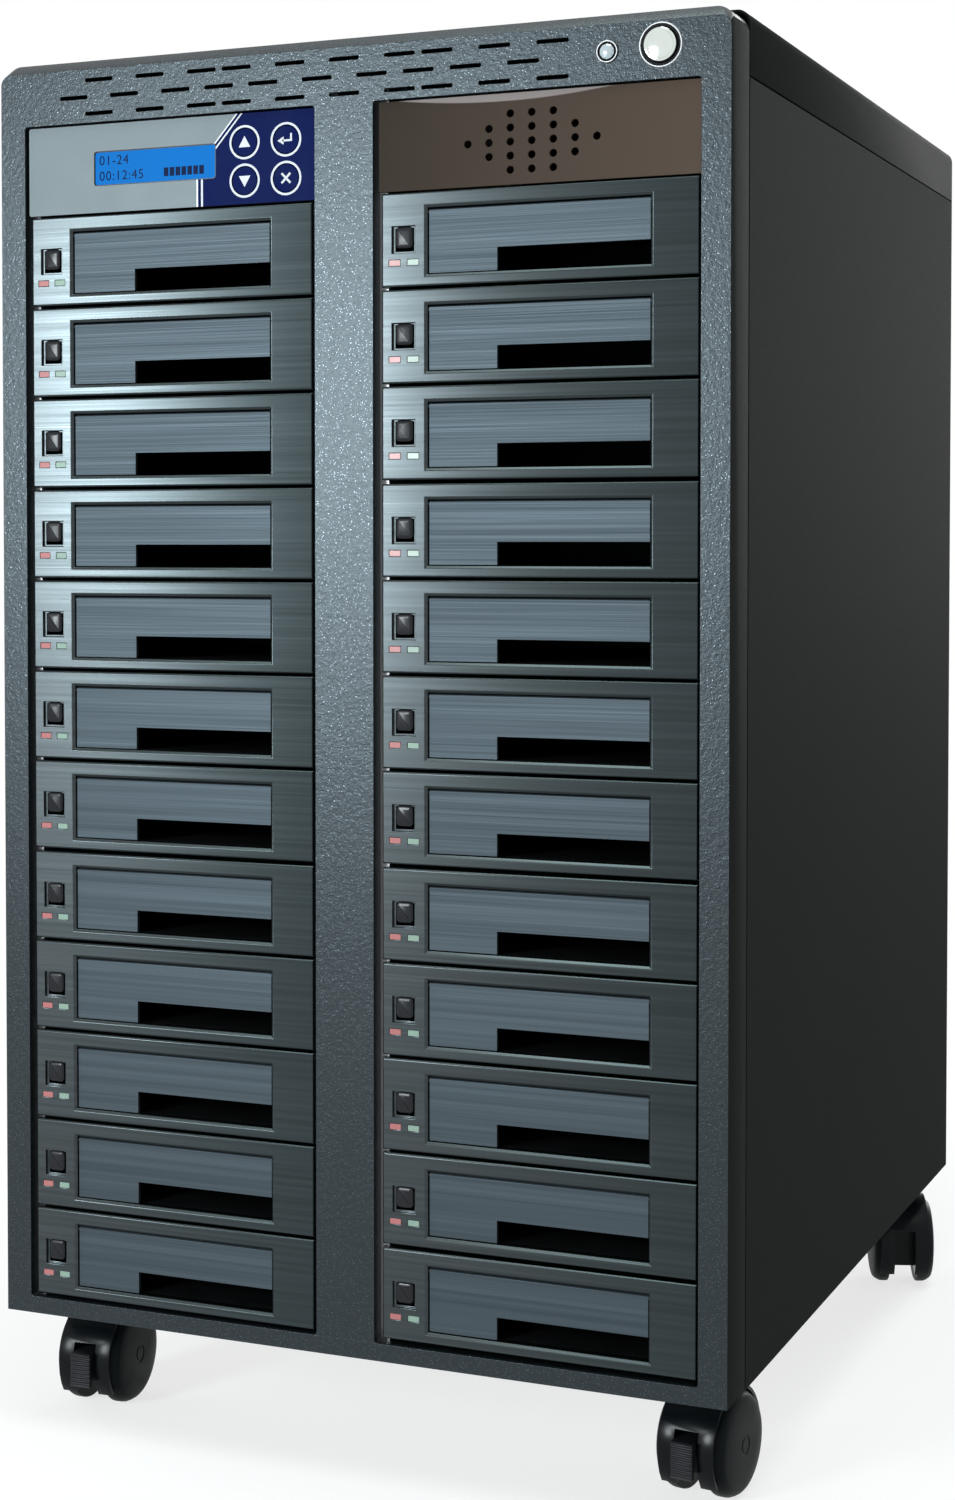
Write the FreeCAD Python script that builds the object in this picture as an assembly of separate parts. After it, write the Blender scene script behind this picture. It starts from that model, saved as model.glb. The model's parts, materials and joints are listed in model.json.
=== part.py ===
"""Tower drive duplicator: a sheet-steel cabinet on twin-wheel casters, with two columns of drive racks.

Frame: the origin is on the floor under the middle of the object, +Z is up, the front faces -Y and +X is to
the right. Lengths are millimetres. Racks, casters and the lever are built once in their own local frame
and then placed, so every copy follows the same dimensions.
"""

import FreeCAD, Part
import math
import os

from FreeCAD import Vector

# Cabinet
CABINET_DEPTH = 450.0
CABINET_BOTTOM = 57.0
SHEET = 1.2
PAN_SHEET = 1.5
PAN_FLANGE = 15.0
BOTTOM_RAIL = 8.0
HEADER = 25.0
BEVEL_RISE = 4.7
BEVEL_RUN = 5.0
FACE_CORNER = 5.0
BEVEL_CORNER = 8.0
FRAME_RETURN = 26.3
SEAM = 1.2
COVER_RISE = 2.8
COVER_FLANGE = 28.4
COVER_BEND = 6.0
COVER_SEAM = 0.8
SIDE_FOLD = 8.0

# Bays: two columns of 5.25-inch openings
BAY_ROWS = 13
BAY_PITCH = 42.84
OPENING_WIDTH = 152.4
OPENING_SLACK = 0.6
SIDE_STILE = 13.15
CENTRE_STILE = 28.9
OPENING_CORNER = 1.5
LIP_SHEET = 1.0
COLUMNS = ("L", "R")
COLUMN_SIDE = {"L": -1, "R": 1}
COLUMN_SHIFT = {"L": 0.35, "R": 1.27}
COLUMN_LIFT = {"L": 0.0, "R": 1.7}
WIDE_GAPS_BELOW = {"L": (7,), "R": (3, 7, 11)}
WIDE_GAP = 0.45

# Vent slots in the header
VENT_LENGTH = 14.8
VENT_HEIGHT = 1.8
VENT_UNIT = 9.05
VENT_COUNT = 10
VENT_ROW_PITCH = 7.8
VENT_TOP_DROP = 5.2
VENT_EDGES = (46.2, 32.6, 46.2)
VENT_STEPS = ((3, 3, 2, 3), (3, 3, 2.5, 2.5), (3, 3, 2, 3))

# Power button and power light
BUTTON_EDGE = 31.2
BUTTON_DROP = 10.6
BUTTON_RADIUS = 7.3
BUTTON_PROUD = 1.6
BUTTON_TRAVEL = 2.0
BUTTON_BEVEL = 0.6
BUTTON_CAP = 5.0
BUTTON_STEM_RADIUS = 3.0
BUTTON_STEM = 17.0
SWITCH_HOLE_RADIUS = 9.25
SWITCH_BODY = 19.0
SWITCH_DEPTH = 22.0
SWITCH_BORE_SPARE = 7.0
LIGHT_EDGE = 55.1
LIGHT_DROP = 11.8
LIGHT_HOLE_RADIUS = 4.8
LIGHT_LENS_RADIUS = 3.5
LIGHT_PROUD = 0.8
LIGHT_DEPTH = 9.0

# Drive racks
BEZEL_SIDE_GAP = 2.2
BEZEL_ROW_GAP = 1.24
BEZEL_THICKNESS = 6.0
BEZEL_SET_BACK = 1.5
BEZEL_BEVEL = 0.7
DOOR_LEFT = 22.5
DOOR_TOP = 7.5
DOOR_RIGHT = 22.4
DOOR_BOTTOM = 5.6
DOOR_THICKNESS = 2.0
DOOR_SET_BACK = 1.6
DOOR_GAP = 0.4
DOOR_PIVOT_DROP = 1.5
DOOR_EDGE_BEVEL = 0.6
DOOR_PIN_RADIUS = 1.0
DOOR_PIN_LENGTH = 2.0
SLOT_WIDTH = 70.5
SLOT_HEIGHT = 10.1
RECESS_BORDER = 1.2
RECESS_DEPTH = 1.1
PUSH_LEFT = 5.1
PUSH_TOP = 14.8
PUSH_RECESS_WIDTH = 11.3
PUSH_RECESS_HEIGHT = 11.9
PUSH_RECESS_DEPTH = 1.5
PUSH_WIDTH = 8.3
PUSH_HEIGHT = 9.5
PUSH_LENGTH = 6.0
PUSH_CROWN = 0.9
PUSH_FLANGE = 1.0
PUSH_FLANGE_THICKNESS = 1.6
LENS_LEFTS = (3.7, 12.6)
LENS_TOP = 29.6
LENS_WIDTH = 5.5
LENS_HEIGHT = 2.7
LENS_LENGTH = 7.0
CAGE_SIDE_INSET = 1.0
CAGE_TOP_INSET = 0.5
CAGE_DEPTH = 162.0
CAGE_WALL = 1.5
BACKPLANE_SHEET = 1.6
BACKPLANE_MARGIN = 4.0
CONNECTOR_WIDTH = 44.0
CONNECTOR_HEIGHT = 8.0
CONNECTOR_LENGTH = 10.0
CONNECTOR_LEFT = 12.0

# Control panel, its display and keys
PANEL_SIDE_GAP = 0.8
PANEL_ROW_GAP = 1.64
PANEL_SHIFT = 0.55
PANEL_DROP = 0.8
PANEL_PLATE = 3.0
PANEL_DEPTH = 40.0
PANEL_WALL = 2.0
PANEL_CORNER = 1.0
DISPLAY_RIGHT = 51.1
DISPLAY_TOP = 13.0
DISPLAY_WIDTH = 63.9
DISPLAY_HEIGHT = 15.4
DISPLAY_SET_BACK = 0.6
MODULE_BORDER = 4.5
MODULE_DEPTH = 8.0
KEY_RIGHT = 14.8
KEY_TOP = 13.2
KEY_PITCH_X = 21.1
KEY_PITCH_Z = 17.4
KEY_RADIUS = 6.3
KEY_FLANGE_HALF = 6.8
KEY_FLANGE = 1.0
KEY_TRAVEL = 0.6
KEY_SWITCH_HALF = 3.0
KEY_NAMES = (("key_up", 1, 0), ("key_enter", 0, 0), ("key_down", 1, 1), ("key_escape", 0, 1))

# Perforated blank in the top right bay
BLANK_SIDE_GAP = 1.4
BLANK_ROW_GAP = 3.14
BLANK_SHIFT = 1.0
BLANK_DROP = 0.8
BLANK_SHEET = 1.5
BLANK_FLANGE = 30.0
PERFORATION_RADIUS = 1.85
PERFORATION_PITCH_X = 10.0
PERFORATION_PITCH_Z = 6.1
PERFORATION_COLUMNS = (1, 3, 5, 5, 5, 3, 1)
PERFORATION_SHIFT_X = -2.0
PERFORATION_SHIFT_Z = -1.2

# Inside the cabinet
RAIL_DEPTH = 165.0
RAIL_FLANGE = 11.0
RAIL_ABOVE_BAYS = 10.0
SUPPLY_WIDTH = 150.0
SUPPLY_DEPTH = 140.0
SUPPLY_HEIGHT = 86.0
SUPPLY_MARGIN = 5.0
SUPPLY_SLOT_COUNT = 8
SUPPLY_SLOT_PITCH = 7.0
SUPPLY_SLOT_HEIGHT = 3.0
SUPPLY_SLOT_WIDTH = 70.0
SUPPLY_SLOT_DEPTH = 2.0
INLET_WIDTH = 27.4
INLET_HEIGHT = 20.0
INLET_DEPTH = 16.0
INLET_CORNER = 4.0
INLET_EDGE = 14.0
BLADE_THICKNESS = 2.0
BLADE_WIDTH = 4.0
BLADE_LENGTH = 10.0
BLADE_PITCH = 7.0
BLADE_RISE = 2.0
BOARD_WIDTH = 150.0
BOARD_DEPTH = 120.0
BOARD_SHEET = 1.6
BOARD_POST = 6.0
BOARD_POST_HALF = 3.0
BOARD_POST_EDGE = 8.0
CHIP_SIZE = 35.0
CHIP_HEIGHT = 12.0
FAN_HEIGHT = 470.0
FAN_SIZE = 120.0
FAN_DEPTH = 25.0
FAN_DUCT_RADIUS = 57.5
FAN_HUB_RADIUS = 19.0
FAN_TIP_GAP = 2.0
FAN_STRUT = 5.0
FAN_STRUT_DEPTH = 4.0
FAN_BLADES = 7
FAN_BLADE_PITCH = 38.0
FAN_BLADE_CHORD = 26.0
FAN_BLADE_THICKNESS = 1.6
FAN_SHAFT_RADIUS = 2.0
GUARD_SLOTS = 11
GUARD_PITCH = 9.6
GUARD_SLOT_HEIGHT = 5.0
GUARD_RIB = 6.0
GUARD_EDGE = 3.0

# Casters
CASTER_SIDE_INSET = 22.2
CASTER_FRONT_INSET = 70.0
CASTER_REAR_INSET = 33.0
CASTER_YAWS = {"front_left": 3.4, "front_right": -7.9, "rear_left": -20.0, "rear_right": 20.0}
CASTER_PLATE = 42.0
CASTER_PLATE_SHEET = 2.5
CASTER_TRAIL = 16.0
WHEEL_RADIUS = 23.6
WHEEL_INNER_X = 7.8
WHEEL_TREAD_X = 11.5
WHEEL_RIM_X = 16.3
WHEEL_FACE_X = 17.8
WHEEL_RIM_RADIUS = 21.5
WHEEL_FACE_RADIUS = 13.0
AXLE_RADIUS = 3.5
HOOD_GAP = 0.7
HOOD_WALL = 1.7
HOOD_HALF_WIDTH = 13.5
HOOD_FRONT_ANGLE = -34.6
HOOD_REAR_ANGLE = 185.0
WEB_HALF_WIDTH = 7.3
HUB_RADIUS = 7.2
RACE_RADIUS = 12.0
RACE_THICKNESS = 3.0
RACE_GAP = 0.2
STEM_RADIUS = 5.0
LEVER_WIDTH = 10.5
LEVER_SLOT_WIDTH = 11.5
LEVER_SLOT_TOP = 10.5
LEVER_SLOT_BACK = 12.5
LEVER_PIVOT_Y = -17.0
LEVER_PIVOT_Z = 4.0
LEVER_BOSS_RADIUS = 3.4
LEVER_PIN_RADIUS = 1.5
LEVER_PAD_FRONT = 30.0
LEVER_PAD_THICKNESS = 2.8
LEVER_PAD_LOW = -9.5
LEVER_PAD_HIGH = 7.0
LEVER_RIBS = 8
LEVER_RIB_DEPTH = 0.8

# Clearances, and how far the flats of round pieces lie from their circles
CHORD_TOLERANCE = 0.12
SLIDE_GAP = 0.3
SEAT_GAP = 0.15
PIN_GAP = 0.05
LENS_GAP = 0.1

# Levels and planes that follow from the dimensions above
cabinet_width = 2 * (SIDE_STILE + OPENING_WIDTH) + CENTRE_STILE
opening_pitch = OPENING_WIDTH + CENTRE_STILE
front_y = -(CABINET_DEPTH - BUTTON_PROUD) / 2
rear_y = front_y + CABINET_DEPTH
opening_bottom = CABINET_BOTTOM + BOTTOM_RAIL
opening_top = opening_bottom + BAY_ROWS * BAY_PITCH + OPENING_SLACK
face_top = opening_top + HEADER
frame_top = face_top + BEVEL_RISE
cabinet_top = frame_top + COVER_RISE
shell_front = front_y + FRAME_RETURN + SEAM
pan_bottom = CABINET_BOTTOM + SHEET
pan_top = pan_bottom + PAN_SHEET
button_x = cabinet_width / 2 - BUTTON_EDGE
light_x = cabinet_width / 2 - LIGHT_EDGE
bezel_y = front_y + BEZEL_SET_BACK
rail_front = bezel_y + BEZEL_THICKNESS + 2 * LENS_GAP
bezel_width = OPENING_WIDTH - 2 * BEZEL_SIDE_GAP
bezel_height = BAY_PITCH - BEZEL_ROW_GAP
door_width = bezel_width - DOOR_LEFT - DOOR_RIGHT
door_height = bezel_height - DOOR_TOP - DOOR_BOTTOM
cage_width = bezel_width - 2 * CAGE_SIDE_INSET
cage_height = bezel_height - 2 * CAGE_TOP_INSET
panel_width = OPENING_WIDTH - 2 * PANEL_SIDE_GAP
panel_height = BAY_PITCH - PANEL_ROW_GAP
blank_width = OPENING_WIDTH - 2 * BLANK_SIDE_GAP
blank_height = BAY_PITCH - BLANK_ROW_GAP
channel_x = (DOOR_LEFT - DOOR_GAP, DOOR_LEFT + door_width + DOOR_GAP)
channel_z = (-DOOR_TOP - door_height - DOOR_GAP, -DOOR_TOP + DOOR_GAP)
pivot_y = DOOR_SET_BACK + DOOR_THICKNESS / 2
pivot_z = -DOOR_TOP - DOOR_PIVOT_DROP
wheel_inside_hood = WHEEL_RADIUS + HOOD_GAP
hood_radius = wheel_inside_hood + HOOD_WALL
plate_bottom = pan_bottom - CASTER_PLATE_SHEET
race_top = plate_bottom - RACE_GAP


def box(x_range, y_range, z_range):
    """Block between two opposite corners, given as three (low, high) ranges."""
    size = [high - low for low, high in (x_range, y_range, z_range)]
    return Part.makeBox(*size, Vector(x_range[0], y_range[0], z_range[0]))


def extruded(corners, direction):
    """Solid swept from a closed flat outline along a vector."""
    return Part.Face(Part.makePolygon(corners + corners[:1])).extrude(direction)


def side_profile(points, x_range):
    """Solid swept along X from a closed outline of (y, z) points."""
    return extruded([Vector(x_range[0], y, z) for y, z in points], Vector(x_range[1] - x_range[0], 0, 0))


def front_profile(points, y_range):
    """Solid swept along Y from a closed outline of (x, z) points."""
    return extruded([Vector(x, y_range[0], z) for x, z in points], Vector(0, y_range[1] - y_range[0], 0))


def plan_profile(points, z_range):
    """Solid swept along Z from a closed outline of (x, y) points."""
    return extruded([Vector(x, y, z_range[0]) for x, y in points], Vector(0, 0, z_range[1] - z_range[0]))


def side_count(radius):
    """Sides of a round piece, so that its flats lie within the chord tolerance of the circle."""
    return 4 * round(math.pi * math.sqrt(radius / (2 * CHORD_TOLERANCE)) / 4)


def ring(radius, across, up, around=False):
    """Corners of a round outline: inside its circle for a shaft, around its circle for a bore."""
    sides = side_count(radius)
    reach = radius / math.cos(math.pi / sides) if around else radius
    turns = [2 * math.pi * side / sides for side in range(sides)]
    return [(across + reach * math.cos(turn), up + reach * math.sin(turn)) for turn in turns]


def rod(radius, x_range, y, z, around=False):
    """Round bar along X."""
    return side_profile(ring(radius, y, z, around), x_range)


def barrel(radius, y_range, x, z, around=False):
    """Round bar along Y."""
    return front_profile(ring(radius, x, z, around), y_range)


def post(radius, z_range, x=0.0, y=0.0, around=False):
    """Round bar along Z."""
    return plan_profile(ring(radius, x, y, around), z_range)


def turned(stations, y, z):
    """Turned solid along X through (x, radius) stations, whose flats run from end to end."""
    sides = side_count(max(radius for _, radius in stations))
    turns = [2 * math.pi * side / sides for side in range(sides)]
    rings = [[Vector(x, y + radius * math.cos(turn), z + radius * math.sin(turn)) for turn in turns]
             for x, radius in stations]
    faces = [Part.Face(Part.makePolygon(end + end[:1])) for end in (rings[0], rings[-1])]
    for near, far in zip(rings, rings[1:]):
        for side in range(sides):
            after = (side + 1) % sides
            corners = [near[side], near[after], far[after], far[side]]
            faces.append(Part.Face(Part.makePolygon(corners + corners[:1])))
    solid = Part.makeSolid(Part.makeShell(faces))
    if solid.Volume < 0:
        solid.reverse()
    return solid


def rounded_wire(x_range, z_range, y, low_radius, high_radius):
    """Rectangle in the plane of a given y, with its lower and its upper corners rounded."""
    x0, x1 = x_range
    z0, z1 = z_range
    quarter = 1 - math.sqrt(0.5)
    corners = ((x1, z0, -1, 1, low_radius), (x1, z1, -1, -1, high_radius),
               (x0, z1, 1, -1, high_radius), (x0, z0, 1, 1, low_radius))
    edges = []
    ends = []
    for index, (x, z, to_middle_x, to_middle_z, radius) in enumerate(corners):
        along_z = Vector(x, y, z + to_middle_z * radius)
        along_x = Vector(x + to_middle_x * radius, y, z)
        arrive, leave = (along_x, along_z) if index % 2 == 0 else (along_z, along_x)
        bend = Vector(x + to_middle_x * radius * quarter, y, z + to_middle_z * radius * quarter)
        arc = Part.Arc(arrive, bend, leave).toShape() if radius else None
        ends.append((arrive, leave, arc))
    for index, (arrive, leave, arc) in enumerate(ends):
        if arc:
            edges.append(arc)
        edges.append(Part.makeLine(leave, ends[(index + 1) % len(ends)][0]))
    return Part.Wire(edges)


def rounded_block(x_range, y_range, z_range, low_radius, high_radius):
    """Block along Y whose four long edges are rounded."""
    face = Part.Face(rounded_wire(x_range, z_range, y_range[0], low_radius, high_radius))
    return face.extrude(Vector(0, y_range[1] - y_range[0], 0))


def placed(shape, x, y, z):
    """Copy of a locally built shape, moved to its place."""
    copy = shape.copy()
    copy.translate(Vector(x, y, z))
    return copy


def export(node, *solids):
    """Write one node: a single solid, or a group of separate solids."""
    shape = solids[0] if len(solids) == 1 else Part.makeCompound(list(solids))
    shape.exportStep("parts/" + node + ".step")


def front_edges(shape, y):
    """Straight or round edges that lie wholly in the plane of a given y."""
    return [edge for edge in shape.Edges if all(abs(v.Y - y) < 1e-6 for v in edge.Vertexes)]


# Front frame


def frame_blank(inset):
    """The frame's folded outline as a full block, moved inward by the sheet, with an open rear."""
    half = cabinet_width / 2 - inset
    slope = BEVEL_RISE / BEVEL_RUN
    slant = math.hypot(1, slope)
    low_z = CABINET_BOTTOM + inset
    face_y = front_y + inset
    bevel_y = front_y + BEVEL_RUN + inset * (slant - 1) / slope
    back_y = front_y + FRAME_RETURN + inset
    face_z = face_top + inset * (slope - slant)
    face_wire = rounded_wire((-half, half), (low_z, face_z), face_y, 0, FACE_CORNER - inset)
    top_wire = rounded_wire((-half, half), (low_z, frame_top - inset), bevel_y, 0, BEVEL_CORNER - inset)
    nose = Part.makeLoft([face_wire, top_wire], True, True)
    body = Part.Face(top_wire).extrude(Vector(0, back_y - bevel_y, 0))
    return nose.fuse(body).removeSplitter()


def opening_ranges(column):
    """X and Z ranges of one column's opening in the front frame."""
    centre = COLUMN_SIDE[column] * opening_pitch / 2
    return (centre - OPENING_WIDTH / 2, centre + OPENING_WIDTH / 2), (opening_bottom, opening_top)


def vent_slot(x, z):
    """Cutter for one vent slot, from its left end; its short ends taper to a blunt nose."""
    half = VENT_HEIGHT / 2
    nose = half / 2
    outline = ((x, z - nose), (x + nose, z - half), (x + VENT_LENGTH - nose, z - half),
               (x + VENT_LENGTH, z - nose), (x + VENT_LENGTH, z + nose), (x + VENT_LENGTH - nose, z + half),
               (x + nose, z + half), (x, z + nose))
    return front_profile(outline, (front_y - SHEET, front_y + 2 * SHEET))


def vent_slots():
    """Cutters for the rows of vent slots, whose steps repeat along each row."""
    cutters = []
    for row, (edge, steps) in enumerate(zip(VENT_EDGES, VENT_STEPS)):
        x = edge - cabinet_width / 2
        z = face_top - VENT_TOP_DROP - row * VENT_ROW_PITCH
        for index in range(VENT_COUNT):
            cutters.append(vent_slot(x, z))
            x += steps[index % len(steps)] * VENT_UNIT
    return cutters


def front_frame():
    """Folded front with its lips around the openings, vent slots and button holes."""
    frame = frame_blank(0).cut(frame_blank(SHEET))
    cutters = vent_slots()
    hole_depth = (front_y - SHEET, front_y + 2 * SHEET)
    cutters.append(barrel(SWITCH_HOLE_RADIUS, hole_depth, button_x, face_top - BUTTON_DROP, True))
    cutters.append(barrel(LIGHT_HOLE_RADIUS, hole_depth, light_x, face_top - LIGHT_DROP, True))
    for column in COLUMNS:
        (x0, x1), (z0, z1) = opening_ranges(column)
        lip_x = (x0 - LIP_SHEET, x1 + LIP_SHEET)
        lip_z = (z0 - LIP_SHEET, z1 + LIP_SHEET)
        frame = frame.fuse(box(lip_x, (front_y + SHEET, rail_front), lip_z))
        through = (front_y - SHEET, rail_front + SHEET)
        cutters.append(rounded_block((x0, x1), through, (z0, z1), OPENING_CORNER, OPENING_CORNER))
    export("front_frame", frame.cut(cutters).removeSplitter())


# Cabinet shell


def base_pan():
    """Floor of the cabinet, with flanges that stand up inside the side panels."""
    half = cabinet_width / 2 - SHEET
    depth = (front_y + SHEET, rear_y - SHEET)
    pan = box((-half, half), depth, (pan_bottom, pan_top))
    for side in (-1, 1):
        outer = side * half
        inner = side * (half - PAN_SHEET)
        flange_x = (min(outer, inner), max(outer, inner))
        flange_y = (shell_front + 2 * SHEET, rear_y - SHEET)
        pan = pan.fuse(box(flange_x, flange_y, (pan_bottom, pan_top + PAN_FLANGE)))
    export("base_pan", pan.removeSplitter())


def cover_blank(inset):
    """The top cover's outline as a full block, moved inward by the sheet."""
    half = cabinet_width / 2 - inset
    depth = (shell_front - inset, rear_y - SHEET + inset)
    height = (cabinet_top - COVER_FLANGE - inset, cabinet_top - inset)
    return rounded_block((-half, half), depth, height, 0, COVER_BEND - inset)


def top_cover():
    """Top sheet bent down into a short flange on each side."""
    export("top_cover", cover_blank(0).cut(cover_blank(SHEET)))


def side_panels():
    """Flat side sheets, folded inward behind the front frame's seam."""
    depth = (shell_front, rear_y - SHEET)
    height = (CABINET_BOTTOM, cabinet_top - COVER_FLANGE - COVER_SEAM)
    fold_y = (shell_front, shell_front + SHEET)
    for name, side in (("side_panel_left", -1), ("side_panel_right", 1)):
        outer = side * cabinet_width / 2
        inner = outer - side * SHEET
        folded = outer - side * SIDE_FOLD
        sheet = box((min(outer, inner), max(outer, inner)), depth, height)
        fold = box((min(outer, folded), max(outer, folded)), fold_y, (pan_top, height[1]))
        export(name, sheet.fuse(fold).removeSplitter())


def guard_slots():
    """Cutters for the level slits of the fan guard, each as long as the duct is wide at its height."""
    cutters = []
    for index in range(GUARD_SLOTS):
        rise = (index - (GUARD_SLOTS - 1) / 2) * GUARD_PITCH
        half = math.sqrt(FAN_DUCT_RADIUS ** 2 - (abs(rise) + GUARD_SLOT_HEIGHT / 2) ** 2) - GUARD_EDGE
        low = FAN_HEIGHT + rise - GUARD_SLOT_HEIGHT / 2
        for side in (-1, 1):
            ends = sorted((side * GUARD_RIB / 2, side * half))
            cutters.append(box(ends, (rear_y - SHEET, rear_y), (low, low + GUARD_SLOT_HEIGHT)))
    return cutters


def supply_ranges():
    """X, Y and Z ranges of the power supply, which stands on the pan against the rear panel."""
    left = COLUMN_SIDE["L"] * opening_pitch / 2 - SUPPLY_WIDTH / 2
    depth = (rear_y - SHEET - SUPPLY_DEPTH, rear_y - SHEET)
    return (left, left + SUPPLY_WIDTH), depth, (pan_top, pan_top + SUPPLY_HEIGHT)


def rear_panel():
    """Rear sheet with the fan guard and the window for the power supply."""
    half = cabinet_width / 2
    depth = (rear_y - SHEET, rear_y)
    plate = rounded_block((-half, half), depth, (CABINET_BOTTOM, cabinet_top), 0, COVER_BEND)
    (x0, x1), _, (z0, z1) = supply_ranges()
    window_x = (x0 + SUPPLY_MARGIN, x1 - SUPPLY_MARGIN)
    window_z = (z0 + SUPPLY_MARGIN, z1 - SUPPLY_MARGIN)
    window = box(window_x, (rear_y - 2 * SHEET, rear_y + SHEET), window_z)
    export("rear_panel", plate.cut(guard_slots() + [window]))


def column_centre(column):
    """X of the middle of one column of racks."""
    return COLUMN_SIDE[column] * opening_pitch / 2 + COLUMN_SHIFT[column]


def bay_rails():
    """Upright walls on both sides of each column, flanged behind the front frame's lips."""
    rails = []
    height = (pan_top, opening_top + RAIL_ABOVE_BAYS)
    for column in COLUMNS:
        for side in (-1, 1):
            inner = column_centre(column) + side * (cage_width / 2 + SEAT_GAP)
            outer = inner + side * SHEET
            edge = inner + side * RAIL_FLANGE
            wall = box((min(inner, outer), max(inner, outer)), (rail_front, rail_front + RAIL_DEPTH), height)
            flange = box((min(inner, edge), max(inner, edge)), (rail_front, rail_front + SHEET), height)
            rails.append(wall.fuse(flange).removeSplitter())
    export("bay_rails", *rails)


# Power button and light


def power_switch():
    """Push button and the switch body that it slides in."""
    z = face_top - BUTTON_DROP
    half = SWITCH_BODY / 2
    back = front_y + SWITCH_DEPTH
    nose = barrel(SWITCH_HOLE_RADIUS - PIN_GAP, (front_y, front_y + SHEET), button_x, z)
    body = box((button_x - half, button_x + half), (front_y + SHEET, back), (z - half, z + half)).fuse(nose)
    bore_back = front_y + BUTTON_CAP + BUTTON_TRAVEL + SWITCH_BORE_SPARE
    bore = barrel(BUTTON_RADIUS + SLIDE_GAP, (front_y, bore_back), button_x, z, True)
    guide = barrel(BUTTON_STEM_RADIUS + PIN_GAP, (front_y, back), button_x, z, True)
    export("power_switch_body", body.cut([bore, guide]))

    cap = barrel(BUTTON_RADIUS, (front_y - BUTTON_PROUD, front_y + BUTTON_CAP), button_x, z)
    cap = cap.makeChamfer(BUTTON_BEVEL, front_edges(cap, front_y - BUTTON_PROUD))
    stem = barrel(BUTTON_STEM_RADIUS, (front_y, front_y + BUTTON_STEM), button_x, z)
    export("power_button", cap.fuse(stem))


def power_light():
    """Lens with the collar that holds it in the frame."""
    z = face_top - LIGHT_DROP
    collar = barrel(LIGHT_HOLE_RADIUS - PIN_GAP, (front_y, front_y + LIGHT_DEPTH), light_x, z)
    lens = barrel(LIGHT_LENS_RADIUS, (front_y - LIGHT_PROUD, front_y), light_x, z)
    return collar.fuse(lens)


# Drive racks: local origin at the bezel's upper left front corner


def rack_place(column, row):
    """Place of one rack's local origin; row 1 is the uppermost rack."""
    wide_gaps = sum(1 for below in WIDE_GAPS_BELOW[column] if row > below)
    z = opening_top - row * BAY_PITCH + COLUMN_LIFT[column] - wide_gaps * WIDE_GAP
    return column_centre(column) - bezel_width / 2, bezel_y, z


def rack_places(columns=COLUMNS):
    """Places of every rack in the given columns."""
    return [rack_place(column, row) for column in columns for row in range(1, BAY_ROWS)]


def push_ranges(border=0.0):
    """X and Z ranges of the push button's shank, widened by a border."""
    x = PUSH_LEFT + PUSH_RECESS_WIDTH / 2
    z = -PUSH_TOP - PUSH_RECESS_HEIGHT / 2
    half_x = PUSH_WIDTH / 2 + border
    half_z = PUSH_HEIGHT / 2 + border
    return (x - half_x, x + half_x), (z - half_z, z + half_z)


def rack_bezel():
    """Front plate with the door opening, the sloped recess around it, and its button and lens holes.

    The door's pins snap into square sockets in the sides of the opening.
    """
    through = (-BEZEL_THICKNESS, 2 * BEZEL_THICKNESS)
    plate = box((0, bezel_width), (0, BEZEL_THICKNESS), (-bezel_height, 0))
    plate = plate.makeChamfer(BEZEL_BEVEL, front_edges(plate, 0))
    cutters = [box(channel_x, through, channel_z)]
    mouths = []
    for y, border in ((0, RECESS_BORDER), (RECESS_DEPTH, 0)):
        mouth_x = (channel_x[0] - border, channel_x[1] + border)
        mouth_z = (channel_z[0] - border, channel_z[1] + border)
        mouths.append(rounded_wire(mouth_x, mouth_z, y, 0, 0))
    cutters.append(Part.makeLoft(mouths, True, True))
    recess_x = (PUSH_LEFT, PUSH_LEFT + PUSH_RECESS_WIDTH)
    recess_z = (-PUSH_TOP - PUSH_RECESS_HEIGHT, -PUSH_TOP)
    cutters.append(box(recess_x, (0, PUSH_RECESS_DEPTH), recess_z))
    shank_x, shank_z = push_ranges(SLIDE_GAP)
    cutters.append(box(shank_x, through, shank_z))
    for left in LENS_LEFTS:
        cutters.append(box((left, left + LENS_WIDTH), through, (-LENS_TOP - LENS_HEIGHT, -LENS_TOP)))
    pin_reach = DOOR_PIN_LENGTH + DOOR_GAP
    pin_x = (channel_x[0] + DOOR_GAP - pin_reach, channel_x[1] - DOOR_GAP + pin_reach)
    socket = DOOR_PIN_RADIUS + PIN_GAP
    cutters.append(box(pin_x, (pivot_y - socket, pivot_y + socket), (pivot_z - socket, pivot_z + socket)))
    return plate.cut(cutters)


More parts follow.
